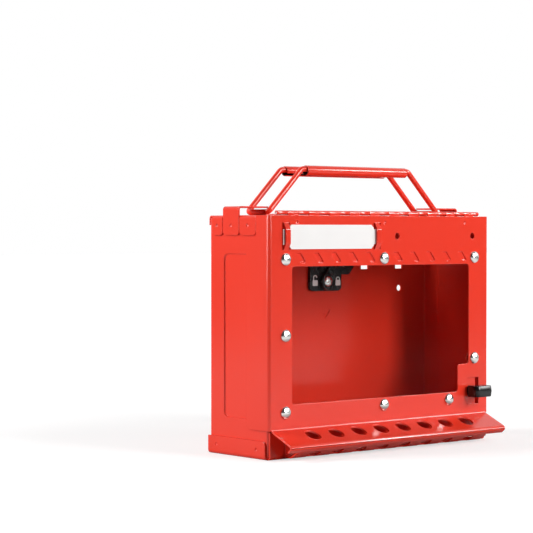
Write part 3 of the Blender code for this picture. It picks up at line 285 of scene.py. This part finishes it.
def ring_mesh(name, rings, loop=False):
    """A closed skin through rings of points, an array of (rings, points, 3).

    Each ring joins the next one side by side. A loop's last ring joins its first, and
    otherwise a fan from each end ring's middle closes that end.
    """
    rings = np.asarray(rings, float)
    count, around = rings.shape[:2]
    index = np.arange(count * around).reshape(count, around)
    near = index if loop else index[:-1]
    far = np.roll(index, -1, axis=0) if loop else index[1:]
    quads = np.stack([near, np.roll(near, -1, axis=1), np.roll(far, -1, axis=1), far], axis=-1)
    faces = quads.reshape(-1, 4).tolist()
    points = rings.reshape(-1, 3)
    if not loop:
        middles = rings[[0, -1]].mean(axis=1)
        points = np.vstack([points, middles])
        for ring, pole in ((index[0], count * around), (index[-1], count * around + 1)):
            fan = np.stack([ring, np.roll(ring, -1), np.full(around, pole)], axis=-1)
            faces += fan.tolist()
    return skin_mesh(name, points, faces)


def add_piece(name, mesh, material, body, slot, *stands_for, crease=CREASE):
    """Put a finished mesh on its body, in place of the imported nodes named."""
    mesh.shade_smooth()
    mesh.set_sharp_from_angle(angle=math.radians(crease))
    mesh.materials.append(material)
    piece = bpy.data.objects.new(name, mesh)
    bpy.context.scene.collection.objects.link(piece)
    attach(piece, body)
    if stands_for:
        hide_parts(*stands_for)
    return piece


def turned_rings(centre, profile, around):
    """Rings about a Y axis: radius r at depth y gives (x + r cos t, y, z + r sin t)."""
    turn = np.arange(around) * math.tau / around
    radius, depth = np.asarray(profile, float).T
    x = centre[0] + np.outer(radius, np.cos(turn))
    z = centre[2] + np.outer(radius, np.sin(turn))
    y = np.broadcast_to(centre[1] + depth[:, None], x.shape)
    return np.stack([x, y, z], axis=-1)


def rivet_profile(grip):
    """Half of a rivet's section: a dome r = R sin a, y = -h cos^p a on a thin rim, then tail."""
    turn = np.linspace(DOME_EYE, math.pi / 2, DOME_STEPS)
    dome = np.stack([RIVET_HEAD * np.sin(turn),
                     -RIVET_RIM - RIVET_DOME * np.cos(turn) ** DOME_POWER], axis=1)
    shank = [(RIVET_HEAD, -RIVET_RIM / 3), (RIVET_HEAD - RIVET_RIM, 0), (RIVET_SHANK, 0),
             (RIVET_SHANK, grip), (RIVET_TAIL, grip),
             (RIVET_TAIL * RIVET_TAIL_TAPER, grip + RIVET_TAIL_HEIGHT)]
    return np.vstack([dome, shank])


rivet_steel = bright_steel("bright_steel_rivet", RIVET_ROUGHNESS)
for number in range(1, RIVET_COUNT + 1):
    name = f"window_rivet_{number}"
    low, high = (np.array(corner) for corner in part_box(name))
    middle = (low + high) / 2
    head_back = low[1] + RIVET_DOME + RIVET_RIM
    grip = high[1] - RIVET_TAIL_HEIGHT - head_back
    rings = turned_rings((middle[0], head_back, middle[2]), rivet_profile(grip), RIVET_TURN)
    add_piece(f"dome_rivet_{number}", ring_mesh(name, rings), rivet_steel, "cover",
              "bright_steel", name)
    nodes[f"rivet_washer_{number}"].data.materials[0] = rivet_steel

# Card: a blank write-on card of stiff white film, cut to size and slid under the two bridges
# that are lanced in the cover.
CARD_LOW = (0.82, 0.80, 0.79, 1.0)
CARD_HIGH = (0.86, 0.845, 0.83, 1.0)
CARD_ROUGHNESS = 0.42
CARD_CLOUD_SCALE = 30.0
CARD_GRAIN_SCALE = 500.0
CARD_GRAIN_DEPTH = 0.00001
card, card_shader = node_material("white_card_film", 0.0, CARD_ROUGHNESS)
join_nodes(card, (shade_between(card, noise_field(card, CARD_CLOUD_SCALE), CARD_LOW, CARD_HIGH),
                  card_shader.inputs["Base Color"]))
relief(card, card_shader, noise_field(card, CARD_GRAIN_SCALE), CARD_GRAIN_DEPTH)
nodes["label_card"].data.materials[0] = card

# Cover latch: a moulded black knob in front of the sheet, on a coated slide behind it. Its
# front falls away above and below a middle ridge, and the corner by the window is well rounded.
KNOB_STEM_DEPTH = 0.0036
KNOB_STEM_WIDTH = 0.0150
KNOB_STEM_HEIGHT = 0.0085
KNOB_STEM_ROUND = 0.0006
KNOB_STEM_STEPS = 3
KNOB_ROUND = (0.0044, 0.0012, 0.0011, 0.0011)
KNOB_EDGE = 0.0009
KNOB_RIDGE = 0.0010
BLACK_LOW = (0.006, 0.006, 0.0065, 1.0)
BLACK_HIGH = (0.011, 0.011, 0.0115, 1.0)
BLACK_CLOUD_SCALE = 120.0
BLACK_ROUGHER = 0.06
BLACK_GRAIN_DEPTH = 0.000008
BLACK_EDGE = 0.0004
KNOB_ROUGHNESS = 0.16
KNOB_GRAIN_SCALE = 900.0
STEM_OVERLAP = 0.0005
FIRM_CREASE = 35
EDGE_STEPS = 5
FLAT_START = 1.5


def black_moulding(name, roughness, grain):
    """Black moulded plastic with a fine grain and slightly broken edges."""
    material, shader = node_material(name)
    field = noise_field(material, BLACK_CLOUD_SCALE)
    join_nodes(material, (shade_between(material, field, BLACK_LOW, BLACK_HIGH),
                          shader.inputs["Base Color"]),
               (range_of(material, field, roughness, roughness + BLACK_ROUGHER),
                shader.inputs["Roughness"]))
    relief(material, shader, noise_field(material, grain), BLACK_GRAIN_DEPTH, BLACK_EDGE)
    return material


def round_outline(corners, radii, steps=8):
    """A closed outline with an arc at each corner, as points and their outward directions.

    Corners go counter-clockwise. An arc's middle lies inward along the sum of the two edges'
    outward directions a and b, by radius / (1 + a . b), so that both edges touch the arc.
    """
    corners = np.asarray(corners, float)
    radii = np.broadcast_to(radii, len(corners))[:, None]
    edge = np.roll(corners, -1, axis=0) - corners
    edge /= np.linalg.norm(edge, axis=1)[:, None]
    after = np.stack([edge[:, 1], -edge[:, 0]], axis=1)
    before = np.roll(after, 1, axis=0)
    cosine = np.sum(before * after, axis=1)[:, None]
    middle = corners - (before + after) * radii / (1 + cosine)
    start = np.arctan2(before[:, 1], before[:, 0])[:, None]
    turn = start + np.linspace(0, 1, steps) * np.arccos(cosine)
    out = np.stack([np.cos(turn), np.sin(turn)], axis=-1)
    points = middle[:, None] + out * radii[:, None]
    return np.concatenate([points, out], axis=-1).reshape(-1, 4)


def box_corners(low, high):
    """A rectangle's corners, counter-clockwise."""
    return (low[0], low[1]), (high[0], low[1]), (high[0], high[1]), (low[0], high[1])


def edge_profile(low, high, radius):
    """Places along a thickness and the inset at each, for edges rounded by a radius r.

    At angle a round an edge the place is r (1 - cos a) in and the inset is r (1 - sin a). One
    more inset past each rounded edge keeps the end face flat.
    """
    turn = np.linspace(0, math.pi / 2, EDGE_STEPS)
    inset = np.concatenate([[radius * FLAT_START], radius * (1 - np.sin(turn))])
    along = np.concatenate([[0.0], radius * (1 - np.cos(turn))])
    places = np.concatenate([low + along, high - along[::-1]])
    return places, np.concatenate([inset, inset[::-1]])


low, high = (np.array(corner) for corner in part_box("latch_knob"))
knob_back = high[1] - KNOB_STEM_DEPTH
outline = round_outline(box_corners(low[:2], (high[0], knob_back)), KNOB_ROUND)
heights, insets = edge_profile(low[2], high[2], KNOB_EDGE)
middle_z, half_z = (low[2] + high[2]) / 2, (high[2] - low[2]) / 2
heights = np.insert(heights, len(heights) // 2, middle_z)
insets = np.insert(insets, len(insets) // 2, 0.0)
fall = np.abs(heights - middle_z) / half_z * KNOB_RIDGE
flat = outline[None, :, :2] - outline[None, :, 2:] * insets[:, None, None]
front_share = np.clip((knob_back - flat[..., 1]) / (knob_back - low[1]), 0, 1)
flat[..., 1] += fall[:, None] * front_share
rings = np.concatenate([flat, np.broadcast_to(heights[:, None, None], flat.shape[:2] + (1,))],
                       axis=-1)
knob_black = black_moulding("black_plastic_knob", KNOB_ROUGHNESS, KNOB_GRAIN_SCALE)
add_piece("latch_knob_moulding", ring_mesh("latch_knob", rings), knob_black, "cover_latch",
          "black_plastic", "latch_knob", crease=FIRM_CREASE)
stem_x = (low[0] + high[0]) / 2
stem = round_outline(box_corners(
    (stem_x - KNOB_STEM_WIDTH / 2, middle_z - KNOB_STEM_HEIGHT / 2),
    (stem_x + KNOB_STEM_WIDTH / 2, middle_z + KNOB_STEM_HEIGHT / 2)), KNOB_STEM_ROUND,
    KNOB_STEM_STEPS)
stem_rings = np.stack([np.stack([stem[:, 0], np.full(len(stem), depth), stem[:, 1]], axis=1)
                       for depth in (knob_back - STEM_OVERLAP, high[1])])
add_piece("latch_stem", ring_mesh("latch_stem", stem_rings), knob_black, "cover_latch",
          "black_plastic")

# Handle: one closed loop of 5.4 mm coated wire, trapped at its feet by the two straps. A grip
# rolled from sheet hangs on each bar, coated outside, with near-black painted shade on its inner
# wall. It is open along a narrow seam, which faces down on the front grip and forward and down on
# the rear one.
WIRE_RADIUS = 0.0027
SHOULDER_BEND = 0.0062
FOOT_BEND = 0.0042
WIRE_SHOULDER = 0.0690
WIRE_AROUND = 28
WIRE_INSIDE_DROP = 0.01
BEND_STEPS = 14
LEG_STEPS = 10
GRIP_RADIUS = 0.0048
GRIP_WALL = 0.0009
GRIP_GAP = math.radians(34)
GRIP_INSIDE_SHADE = (0.006, 0.0055, 0.005, 1.0)
FRONT_SEAM = math.radians(-75)
REAR_SEAM = math.radians(-135)
GRIP_AROUND = 40
GRIP_RIM = 0.0006
GRIP_RIM_STEPS = 5
GRIP_SAG = 0.0009
MIX_COLOUR_A, MIX_COLOUR_B, MIX_COLOUR_OUT = 6, 7, 2
low, high = (np.array(corner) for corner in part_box("handle_wire"))
foot_x = high[0] - WIRE_RADIUS
front_y, rear_y = low[1] + WIRE_RADIUS, high[1] - WIRE_RADIUS
foot_z, bar_z = low[2] + WIRE_RADIUS, high[2] - WIRE_RADIUS + GRIP_SAG


def bent_route(corners, radii, bend_steps, leg_steps):
    """Points along a closed loop of straight legs, each corner turned on an arc.

    An arc of radius r in a corner of angle 2h has its middle r / sin h inward from the corner
    and touches both legs r / tan h from it.
    """
    corners = np.asarray(corners, float)
    radius = np.asarray(radii, float)[:, None]
    before = np.roll(corners, 1, axis=0) - corners
    after = np.roll(corners, -1, axis=0) - corners
    before /= np.linalg.norm(before, axis=1)[:, None]
    after /= np.linalg.norm(after, axis=1)[:, None]
    half = np.arccos(np.sum(before * after, axis=1))[:, None] / 2
    split = before + after
    split /= np.linalg.norm(split, axis=1)[:, None]
    middle = corners + split * radius / np.sin(half)
    first = corners + before * radius / np.tan(half) - middle
    last = corners + after * radius / np.tan(half) - middle
    turn = (math.pi - half * 2)[:, :, None]
    share = np.linspace(0, 1, bend_steps)[None, :, None]
    bend = (first[:, None] * np.sin((1 - share) * turn)
            + last[:, None] * np.sin(share * turn)) / np.sin(turn) + middle[:, None]
    start, end = bend[:, -1], np.roll(bend[:, 0], -1, axis=0)
    along = np.linspace(0, 1, leg_steps + 2)[1:-1][None, :, None]
    leg = start[:, None] * (1 - along) + end[:, None] * along
    return np.concatenate([bend, leg], axis=1).reshape(-1, 3)


def tube_rings(route, radius, around, inside):
    """Circles p + r (u cos t + v sin t) square to a closed route.

    At each point u is turned away from one inner point, and v is square to it and the route.
    """
    ahead = np.roll(route, -1, axis=0) - np.roll(route, 1, axis=0)
    ahead /= np.linalg.norm(ahead, axis=1)[:, None]
    out = route - np.asarray(inside)
    out -= ahead * np.sum(out * ahead, axis=1)[:, None]
    out /= np.linalg.norm(out, axis=1)[:, None]
    side = np.cross(ahead, out)
    turn = np.arange(around) * math.tau / around
    return (route[:, None] + radius * (out[:, None] * np.cos(turn)[None, :, None]
                                       + side[:, None] * np.sin(turn)[None, :, None]))


route = bent_route([(-WIRE_SHOULDER, front_y, bar_z), (WIRE_SHOULDER, front_y, bar_z),
                    (foot_x, front_y, foot_z), (foot_x, rear_y, foot_z),
                    (WIRE_SHOULDER, rear_y, bar_z), (-WIRE_SHOULDER, rear_y, bar_z),
                    (-foot_x, rear_y, foot_z), (-foot_x, front_y, foot_z)],
                   np.tile([SHOULDER_BEND, SHOULDER_BEND, FOOT_BEND, FOOT_BEND], 2),
                   BEND_STEPS, LEG_STEPS)
inside = (0, (front_y + rear_y) / 2, (foot_z + bar_z) / 2 - WIRE_INSIDE_DROP)
wire_coat = powder_coat("red_powder_coat_wire", 0.0)
add_piece("handle_wire_loop", ring_mesh("handle_wire", tube_rings(route, WIRE_RADIUS,
                                                                  WIRE_AROUND, inside), True),
          wire_coat, "handle", "red_powder_coat", "handle_wire")


def quarter_round(share):
    """The height (1 - (1 - s)^2)^0.5 of a quarter circle over a share s of its width."""
    return np.sqrt(np.clip(1 - (1 - np.clip(share, 0, 1)) ** 2, 0, 1))


def rolled_rings(x_low, x_high, centre, seam):
    """Sections of a rolled sheet tube along X.

    Across a section the sheet runs from one lip of the gap round to the other, outer face
    first and inner face back, at y = r cos a, z = r sin a from the axis. The gap is centred at
    the seam's angle. The reach r is the sheet's mean radius and half its thickness out or in,
    and the thickness closes to nothing on a quarter round near each end and each lip.
    """
    turn = np.linspace(seam + GRIP_GAP / 2, seam + math.tau - GRIP_GAP / 2, GRIP_AROUND)
    lip = np.minimum(turn - turn[0], turn[-1] - turn) * GRIP_RADIUS
    ease = (1 - np.cos(np.linspace(0, math.pi / 2, GRIP_RIM_STEPS))) * GRIP_RIM
    x = np.concatenate([x_low + ease, x_high - ease[::-1]])
    end = np.minimum(x - x_low, x_high - x)
    half = (GRIP_WALL / 2 * quarter_round(end / GRIP_RIM)[:, None]
            * quarter_round(lip / (GRIP_WALL / 2))[None])
    mean = GRIP_RADIUS - GRIP_WALL / 2
    reach = np.concatenate([mean + half, (mean - half)[:, ::-1]], axis=1)
    angle = np.concatenate([turn, turn[::-1]])
    y = centre[0] + reach * np.cos(angle)
    z = centre[1] + reach * np.sin(angle)
    return np.stack([np.broadcast_to(x[:, None], y.shape), y, z], axis=-1)


def rolled_mesh(name, rings):
    """The skin of a rolled tube: its end sections have no thickness, so they close by merging."""
    count, around = rings.shape[:2]
    index = np.arange(count * around).reshape(count, around)
    near, far = index[:-1], index[1:]
    faces = np.stack([near, np.roll(near, -1, axis=1), np.roll(far, -1, axis=1), far],
                     axis=-1).reshape(-1, 4)
    return skin_mesh(name, rings.reshape(-1, 3), faces.tolist(), thin=True)


def grip_coat(name, axis):
    """A powder coat on a tube along X, with near-black painted shade on the inside of its wall."""
    material = powder_coat(name, 0.0)
    coated = material.node_tree.nodes["Principled BSDF"].inputs["Base Color"]
    spot = add_node(material, "ShaderNodeTexCoord")
    from_axis = add_node(material, "ShaderNodeVectorMath", operation="SUBTRACT")
    from_axis.inputs[1].default_value = (0.0, *axis)
    across = add_node(material, "ShaderNodeVectorMath", operation="MULTIPLY")
    across.inputs[1].default_value = (0.0, 1.0, 1.0)
    depth = add_node(material, "ShaderNodeVectorMath", operation="LENGTH")
    inside = add_node(material, "ShaderNodeMath", operation="LESS_THAN")
    inside.inputs[1].default_value = GRIP_RADIUS - GRIP_WALL / 2
    # Painted shade: the base colour turns near-black closer to the axis than the wall's mean
    # radius.
    mixed = add_node(material, "ShaderNodeMix", data_type="RGBA")
    mixed.inputs[MIX_COLOUR_B].default_value = GRIP_INSIDE_SHADE
    join_nodes(material, (spot.outputs["Object"], from_axis.inputs[0]),
               (from_axis.outputs[0], across.inputs[0]), (across.outputs[0], depth.inputs[0]),
               (depth.outputs["Value"], inside.inputs[0]),
               (inside.outputs[0], mixed.inputs["Factor"]),
               (coated.links[0].from_socket, mixed.inputs[MIX_COLOUR_A]),
               (mixed.outputs[MIX_COLOUR_OUT], coated))
    return material


for name, seam in (("grip_front", FRONT_SEAM), ("grip_rear", REAR_SEAM)):
    low, high = (np.array(corner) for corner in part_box(name))
    axis = ((low[1] + high[1]) / 2, high[2] - GRIP_RADIUS)
    rings = rolled_rings(low[0], high[0], axis, seam)
    add_piece(f"{name}_rolled", rolled_mesh(name, rings),
              grip_coat(f"red_powder_coat_{name}", axis), "handle", "red_powder_coat", name)

# Turn lock: a black moulded base and lever on the back wall, turned on a bright bolt with a
# cross recess. White open and closed padlock marks stand a little proud of the base. The hub's
# section is a list of insets from its radius and depths, from its sunk floor out to its rim.
LOCK_EDGE = 0.0007
LOCK_CORNER = 0.0043
HUB_RADIUS = 0.0082
HUB_RIM = 0.0012
HUB_FLOOR = 0.0010
HUB_EYE = 0.0004
HUB_FILLET = (0.0005, 0.0004)
HUB_LIP = 0.0003
HUB_SHOULDER = ((0.0005, 0.0), (0.0001, 0.0002), (0.0, 0.0006))
HUB_SECTION = ((HUB_RIM + HUB_FILLET[0], HUB_FLOOR), (HUB_RIM, HUB_FLOOR - HUB_FILLET[1]),
               (HUB_RIM, HUB_LIP), (HUB_RIM - HUB_LIP, 0.0), *HUB_SHOULDER)
BLADE_CORNERS = ((-0.0040, 0.0066), (0.0275, 0.0066), (0.0335, 0.0135), (0.0335, 0.0240),
                 (0.0255, 0.0325), (0.0205, 0.0330), (0.0060, 0.0210))
BLADE_ROUND = 0.0012
BLADE_STEP = 0.0006
BLADE_ARC_STEPS = 4
LOCK_ROUGHNESS = 0.24
LOCK_GRAIN_SCALE = 1200.0
BOLT_RADIUS = 0.0055
BOLT_HEIGHT = 0.0026
BOLT_SHANK = 0.0030
BOLT_AROUND = 96
BOLT_RINGS = 26
BOLT_EYE = 0.02
BOLT_ROUGHNESS = 0.2
CROSS_REACH = 0.0032
CROSS_HALF = 0.0006
CROSS_DEPTH = 0.0014
MARK_PROUD = 0.00012
MARK_BODY = (0.0064, 0.0056)
MARK_ROUND = 0.0006
MARK_ARC_STEPS = 4
MARK_ARCH_STEPS = 18
MARK_BAND = 0.0011
MARK_ARCH = 0.0021
OPEN_MARK_X, SHUT_MARK_X = -0.01415, 0.01580
MARK_FOOT_DROP = 0.0042
OPEN_LIFT = 0.0018
MARK_LOW = (0.86, 0.85, 0.83, 1.0)
MARK_HIGH = (0.93, 0.92, 0.90, 1.0)
MARK_ROUGHNESS = 0.5
MARK_CLOUD_SCALE = 900.0


def slab_rings(outline, low_y, high_y):
    """Sections of a slab in X and Z through its thickness: points p - n i at each inset i."""
    depths, insets = edge_profile(low_y, high_y, LOCK_EDGE)
    flat = outline[None, :, :2] - outline[None, :, 2:] * insets[:, None, None]
    return np.stack([flat[..., 0], np.broadcast_to(depths[:, None], flat.shape[:2]),
                     flat[..., 1]], axis=-1)


lock_black = black_moulding("black_plastic_lock", LOCK_ROUGHNESS, LOCK_GRAIN_SCALE)
low, high = (np.array(corner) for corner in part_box("lock_base"))
base_front = low[1]
outline = round_outline(box_corners(low[[0, 2]], high[[0, 2]]), LOCK_CORNER)
add_piece("lock_base_moulding", ring_mesh("lock_base", slab_rings(outline, low[1], high[1])),
          lock_black, "case", "black_plastic", "lock_base", crease=FIRM_CREASE)

low, high = (np.array(corner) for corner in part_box("lock_lever"))
lever_front, lever_back = low[1], high[1]
low, high = (np.array(corner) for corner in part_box("lock_bolt"))
bolt_z = (low[2] + high[2]) / 2
bolt_tip, bolt_end = low[1], high[1]
blade = np.array(BLADE_CORNERS) + (0, bolt_z)
add_piece("lock_lever_blade",
          ring_mesh("lock_blade", slab_rings(round_outline(blade, BLADE_ROUND, BLADE_ARC_STEPS),
                                             lever_front + BLADE_STEP, lever_back)),
          lock_black, "bracket_lock", "black_plastic", "lock_lever", crease=FIRM_CREASE)
hub_profile = [(HUB_EYE, HUB_FLOOR),
               *((HUB_RADIUS - inset, depth) for inset, depth in HUB_SECTION),
               (HUB_RADIUS, lever_back - lever_front)]
add_piece("lock_lever_hub",
          ring_mesh("lock_hub", turned_rings((0, lever_front, bolt_z), hub_profile, RIVET_TURN)),
          lock_black, "bracket_lock", "black_plastic", crease=FIRM_CREASE)


def recessed_dome(centre):
    """A dome of radius R, height h (1 - (r/R)^2)^0.5, with a cross cut down into it.

    The cut falls off smoothly past the cross's half width and past its reach.
    """
    radius = BOLT_RADIUS * np.sin(np.linspace(BOLT_EYE, 1, BOLT_RINGS) * math.pi / 2)
    turn = np.arange(BOLT_AROUND) * math.tau / BOLT_AROUND
    x, z = np.outer(radius, np.cos(turn)), np.outer(radius, np.sin(turn))
    tall = BOLT_HEIGHT * np.sqrt(np.clip(1 - (radius / BOLT_RADIUS) ** 2, 0, 1))[:, None]
    arm = np.minimum(np.abs(x), np.abs(z))
    cut = np.clip((CROSS_HALF * 2 - arm) / CROSS_HALF, 0, 1)
    cut *= np.clip((CROSS_REACH - np.hypot(x, z)) / CROSS_HALF, 0, 1)
    y = centre[1] + BOLT_HEIGHT - tall + CROSS_DEPTH * cut
    face = np.stack([centre[0] + x, y, centre[2] + z], axis=-1)
    rim = turned_rings((centre[0], centre[1] + BOLT_HEIGHT, centre[2]),
                       [(BOLT_SHANK, 0), (BOLT_SHANK, bolt_end - centre[1] - BOLT_HEIGHT)],
                       BOLT_AROUND)
    return np.concatenate([face, rim])


add_piece("lock_bolt_head", ring_mesh("lock_bolt", recessed_dome((0, bolt_tip, bolt_z))),
          bright_steel("bright_steel_bolt", BOLT_ROUGHNESS), "bracket_lock", "bright_steel",
          "lock_bolt")

mark_white, mark_shader = node_material("white_print", 0.0, MARK_ROUGHNESS)
join_nodes(mark_white, (shade_between(mark_white, noise_field(mark_white, MARK_CLOUD_SCALE),
                                      MARK_LOW, MARK_HIGH), mark_shader.inputs["Base Color"]))


def arch_rings(centre, low_y, high_y, foot):
    """Sections of a flat band r (cos t, sin t) round half a circle, with straight feet."""
    turn = np.linspace(0, math.pi, MARK_ARCH_STEPS)
    across, up = np.cos(turn), np.sin(turn)
    across = np.concatenate([[1.0], across, [-1.0]])
    up = np.concatenate([[0.0], up, [0.0]])
    down = np.zeros(len(across))
    down[0], down[-1] = foot
    inner, outer = MARK_ARCH - MARK_BAND / 2, MARK_ARCH + MARK_BAND / 2
    corners = ((outer, low_y), (outer, high_y), (inner, high_y), (inner, low_y))
    return np.stack([np.stack([centre[0] + reach * across, np.full(len(across), depth),
                               centre[1] + reach * up - down], axis=1)
                     for reach, depth in corners], axis=1)


mark_y = (base_front - MARK_PROUD, base_front + MARK_PROUD)
mark_foot = bolt_z - MARK_FOOT_DROP
for name, x, lift in (("open", OPEN_MARK_X, OPEN_LIFT), ("shut", SHUT_MARK_X, 0.0)):
    half_wide, tall = MARK_BODY[0] / 2, MARK_BODY[1]
    body = round_outline(box_corners((x - half_wide, mark_foot), (x + half_wide, mark_foot + tall)),
                         MARK_ROUND, MARK_ARC_STEPS)
    rings = np.stack([np.stack([body[:, 0], np.full(len(body), depth), body[:, 1]], axis=1)
                      for depth in mark_y])
    add_piece(f"{name}_mark_body", ring_mesh("mark_body", rings), mark_white, "case",
              "white_card")
    leg = lift + MARK_BAND / 2
    foot = (0.0, leg) if lift else (leg, leg)
    add_piece(f"{name}_mark_shackle",
              ring_mesh("mark_shackle", arch_rings((x, mark_foot + tall + leg), *mark_y, foot)),
              mark_white, "case", "white_card")

# Studio: a pale floor that keeps the box's shadow. It glows towards the camera, so that it looks
# white, and in reflections mostly in front of the box, clear of the shadow.
FLOOR_HALF = 12.0
FLOOR_SHADE = (0.48, 0.48, 0.48, 1.0)
FLOOR_ROUGHNESS = 0.8
FLOOR_SHEEN = 0.1
FLOOR_SEEN = {"start": 0.3, "end": 1.4, "low": 0.6, "high": 1.0}
FLOOR_MIRRORED = {"start": 0.4, "end": 1.1, "low": 0.5, "high": 0.0}
FLOOR_CLEAR = {"start": 0.16, "end": 0.26, "low": 0.0, "high": 1.0}
FLOOR_AHEAD = {"start": 0.1, "end": -0.05, "low": 0.15, "high": 1.0}
WHITE = (1.0, 1.0, 1.0, 1.0)


def combine(owner, operation, *values):
    """One value worked out from others."""
    result = add_node(owner, "ShaderNodeMath", operation=operation)
    join_nodes(owner, *zip(values, result.inputs))
    return result.outputs["Value"]


floor_mesh = bpy.data.meshes.new("floor")
floor_mesh.from_pydata([(-FLOOR_HALF, -FLOOR_HALF, 0), (FLOOR_HALF, -FLOOR_HALF, 0),
                        (FLOOR_HALF, FLOOR_HALF, 0), (-FLOOR_HALF, FLOOR_HALF, 0)], [],
                       [(0, 1, 2, 3)])
floor = bpy.data.objects.new("floor", floor_mesh)
bpy.context.scene.collection.objects.link(floor)
floor_look, floor_shader = node_material("pale_floor", 0.0, FLOOR_ROUGHNESS)
floor_shader.inputs["Base Color"].default_value = FLOOR_SHADE
floor_shader.inputs["Specular IOR Level"].default_value = FLOOR_SHEEN
floor_shader.inputs["Emission Color"].default_value = WHITE
place = add_node(floor_look, "ShaderNodeTexCoord").outputs["Object"]
length = add_node(floor_look, "ShaderNodeVectorMath", operation="LENGTH")
apart = add_node(floor_look, "ShaderNodeSeparateXYZ")
join_nodes(floor_look, (place, length.inputs[0]), (place, apart.inputs[0]))
reach = length.outputs["Value"]
path = add_node(floor_look, "ShaderNodeLightPath").outputs
seen = combine(floor_look, "MAXIMUM", path["Is Camera Ray"], path["Is Transmission Ray"])
open_floor = combine(floor_look, "MULTIPLY", spread_over(floor_look, reach, **FLOOR_CLEAR),
                     spread_over(floor_look, apart.outputs["Y"], **FLOOR_AHEAD))
bright = combine(floor_look, "MULTIPLY", spread_over(floor_look, reach, **FLOOR_MIRRORED),
                 open_floor)
mirrored = combine(floor_look, "MULTIPLY", path["Is Glossy Ray"], bright)
glow = combine(floor_look, "MULTIPLY_ADD", seen, spread_over(floor_look, reach, **FLOOR_SEEN),
               mirrored)
join_nodes(floor_look, (glow, floor_shader.inputs["Emission Strength"]))
floor_mesh.materials.append(floor_look)

# Surroundings: white to the camera, and to other rays a soft fill that fades towards the camera's
# side. Two soft boxes stand there for reflections alone, each a direction, the angles in degrees
# where it ends and where it is full, and its level.
FILL_LEVEL = 0.30
GLOSS_LEVEL = 1.0
AWAY = (0.68, 0.73, 0.25)
AWAY_FADE = {"start": -0.25, "end": 1.0, "low": 0.06, "high": 1.0}
SOFT_BOXES = (((0.21, -0.90, 0.38), 15.0, 11.0, 11.0), ((0.687, -0.65, 0.325), 11.0, 8.0, 12.0))
world = bpy.data.worlds.new("studio")
bpy.context.scene.world = world
world.use_nodes = True
back = world.node_tree.nodes["Background"]
back.inputs["Color"].default_value = WHITE
rays = add_node(world, "ShaderNodeLightPath").outputs
way = add_node(world, "ShaderNodeTexCoord").outputs["Generated"]


def share_facing(toward, **span):
    """A smooth step over the dot product of a ray's direction and another direction."""
    dot = add_node(world, "ShaderNodeVectorMath", operation="DOT_PRODUCT")
    dot.inputs[1].default_value = toward
    join_nodes(world, (way, dot.inputs[0]))
    return spread_over(world, dot.outputs["Value"], **span, curve="SMOOTHSTEP")


by_gloss = add_node(world, "ShaderNodeMix", A=FILL_LEVEL, B=GLOSS_LEVEL)
by_camera = add_node(world, "ShaderNodeMix", B=1.0)
join_nodes(world, (rays["Is Glossy Ray"], by_gloss.inputs["Factor"]))
shine = combine(world, "MULTIPLY", by_gloss.outputs["Result"],
                share_facing(AWAY, **AWAY_FADE))
for toward, outer, inner, level in SOFT_BOXES:
    patch = share_facing(toward, start=math.cos(math.radians(outer)),
                         end=math.cos(math.radians(inner)), low=0.0, high=level)
    shine = combine(world, "MULTIPLY_ADD", patch, rays["Is Glossy Ray"], shine)
direct = combine(world, "MAXIMUM", rays["Is Camera Ray"], rays["Is Transmission Ray"])
join_nodes(world, (direct, by_camera.inputs["Factor"]), (shine, by_camera.inputs["A"]),
           (by_camera.outputs["Result"], back.inputs["Strength"]))

# Lamps: a tall soft box in front, another behind the left side, and a small one at the right.
# Each has a name, a place, a width, a height and a power in watts.
LAMP_AIM = (0.0, 0.0, 0.2)
LAMPS = (("front", (0.42, -1.67, 0.85), 0.55, 1.45, 25.0),
         ("side", (-1.5, 0.72, 0.85), 0.7, 1.5, 35.0),
         ("right", (1.12, -1.05, 0.78), 0.6, 0.25, 8.0))
for name, place, width, height, power in LAMPS:
    data = bpy.data.lights.new(name, "AREA")
    data.shape = "RECTANGLE"
    data.size = width
    data.size_y = height
    data.energy = power
    lamp = bpy.data.objects.new(name, data)
    bpy.context.scene.collection.objects.link(lamp)
    lamp.location = place
    toward = np.array(LAMP_AIM) - np.array(place)
    lamp.rotation_euler = (math.atan2(math.hypot(toward[0], toward[1]), -toward[2]), 0.0,
                           math.atan2(-toward[0], toward[1]))

# Camera: a long lens, left of the box and a little lower than its top, tilted slightly down.
# Its two angles are in degrees.
LENS = 127.2
SENSOR = 36.0
CLIP = (0.05, 60.0)
CAMERA_PLACE = (-1.2316, -1.32665, 0.206)
CAMERA_DOWN = 1.071
CAMERA_RIGHT = 40.252
lens = bpy.data.cameras.new("camera")
lens.sensor_width = SENSOR
lens.lens = LENS
lens.clip_start, lens.clip_end = CLIP
camera = bpy.data.objects.new("camera", lens)
bpy.context.scene.collection.objects.link(camera)
camera.location = CAMERA_PLACE
camera.rotation_euler = (math.radians(90 - CAMERA_DOWN), 0.0, math.radians(-CAMERA_RIGHT))
bpy.context.scene.camera = camera
bpy.context.scene.view_settings.view_transform = "Standard"
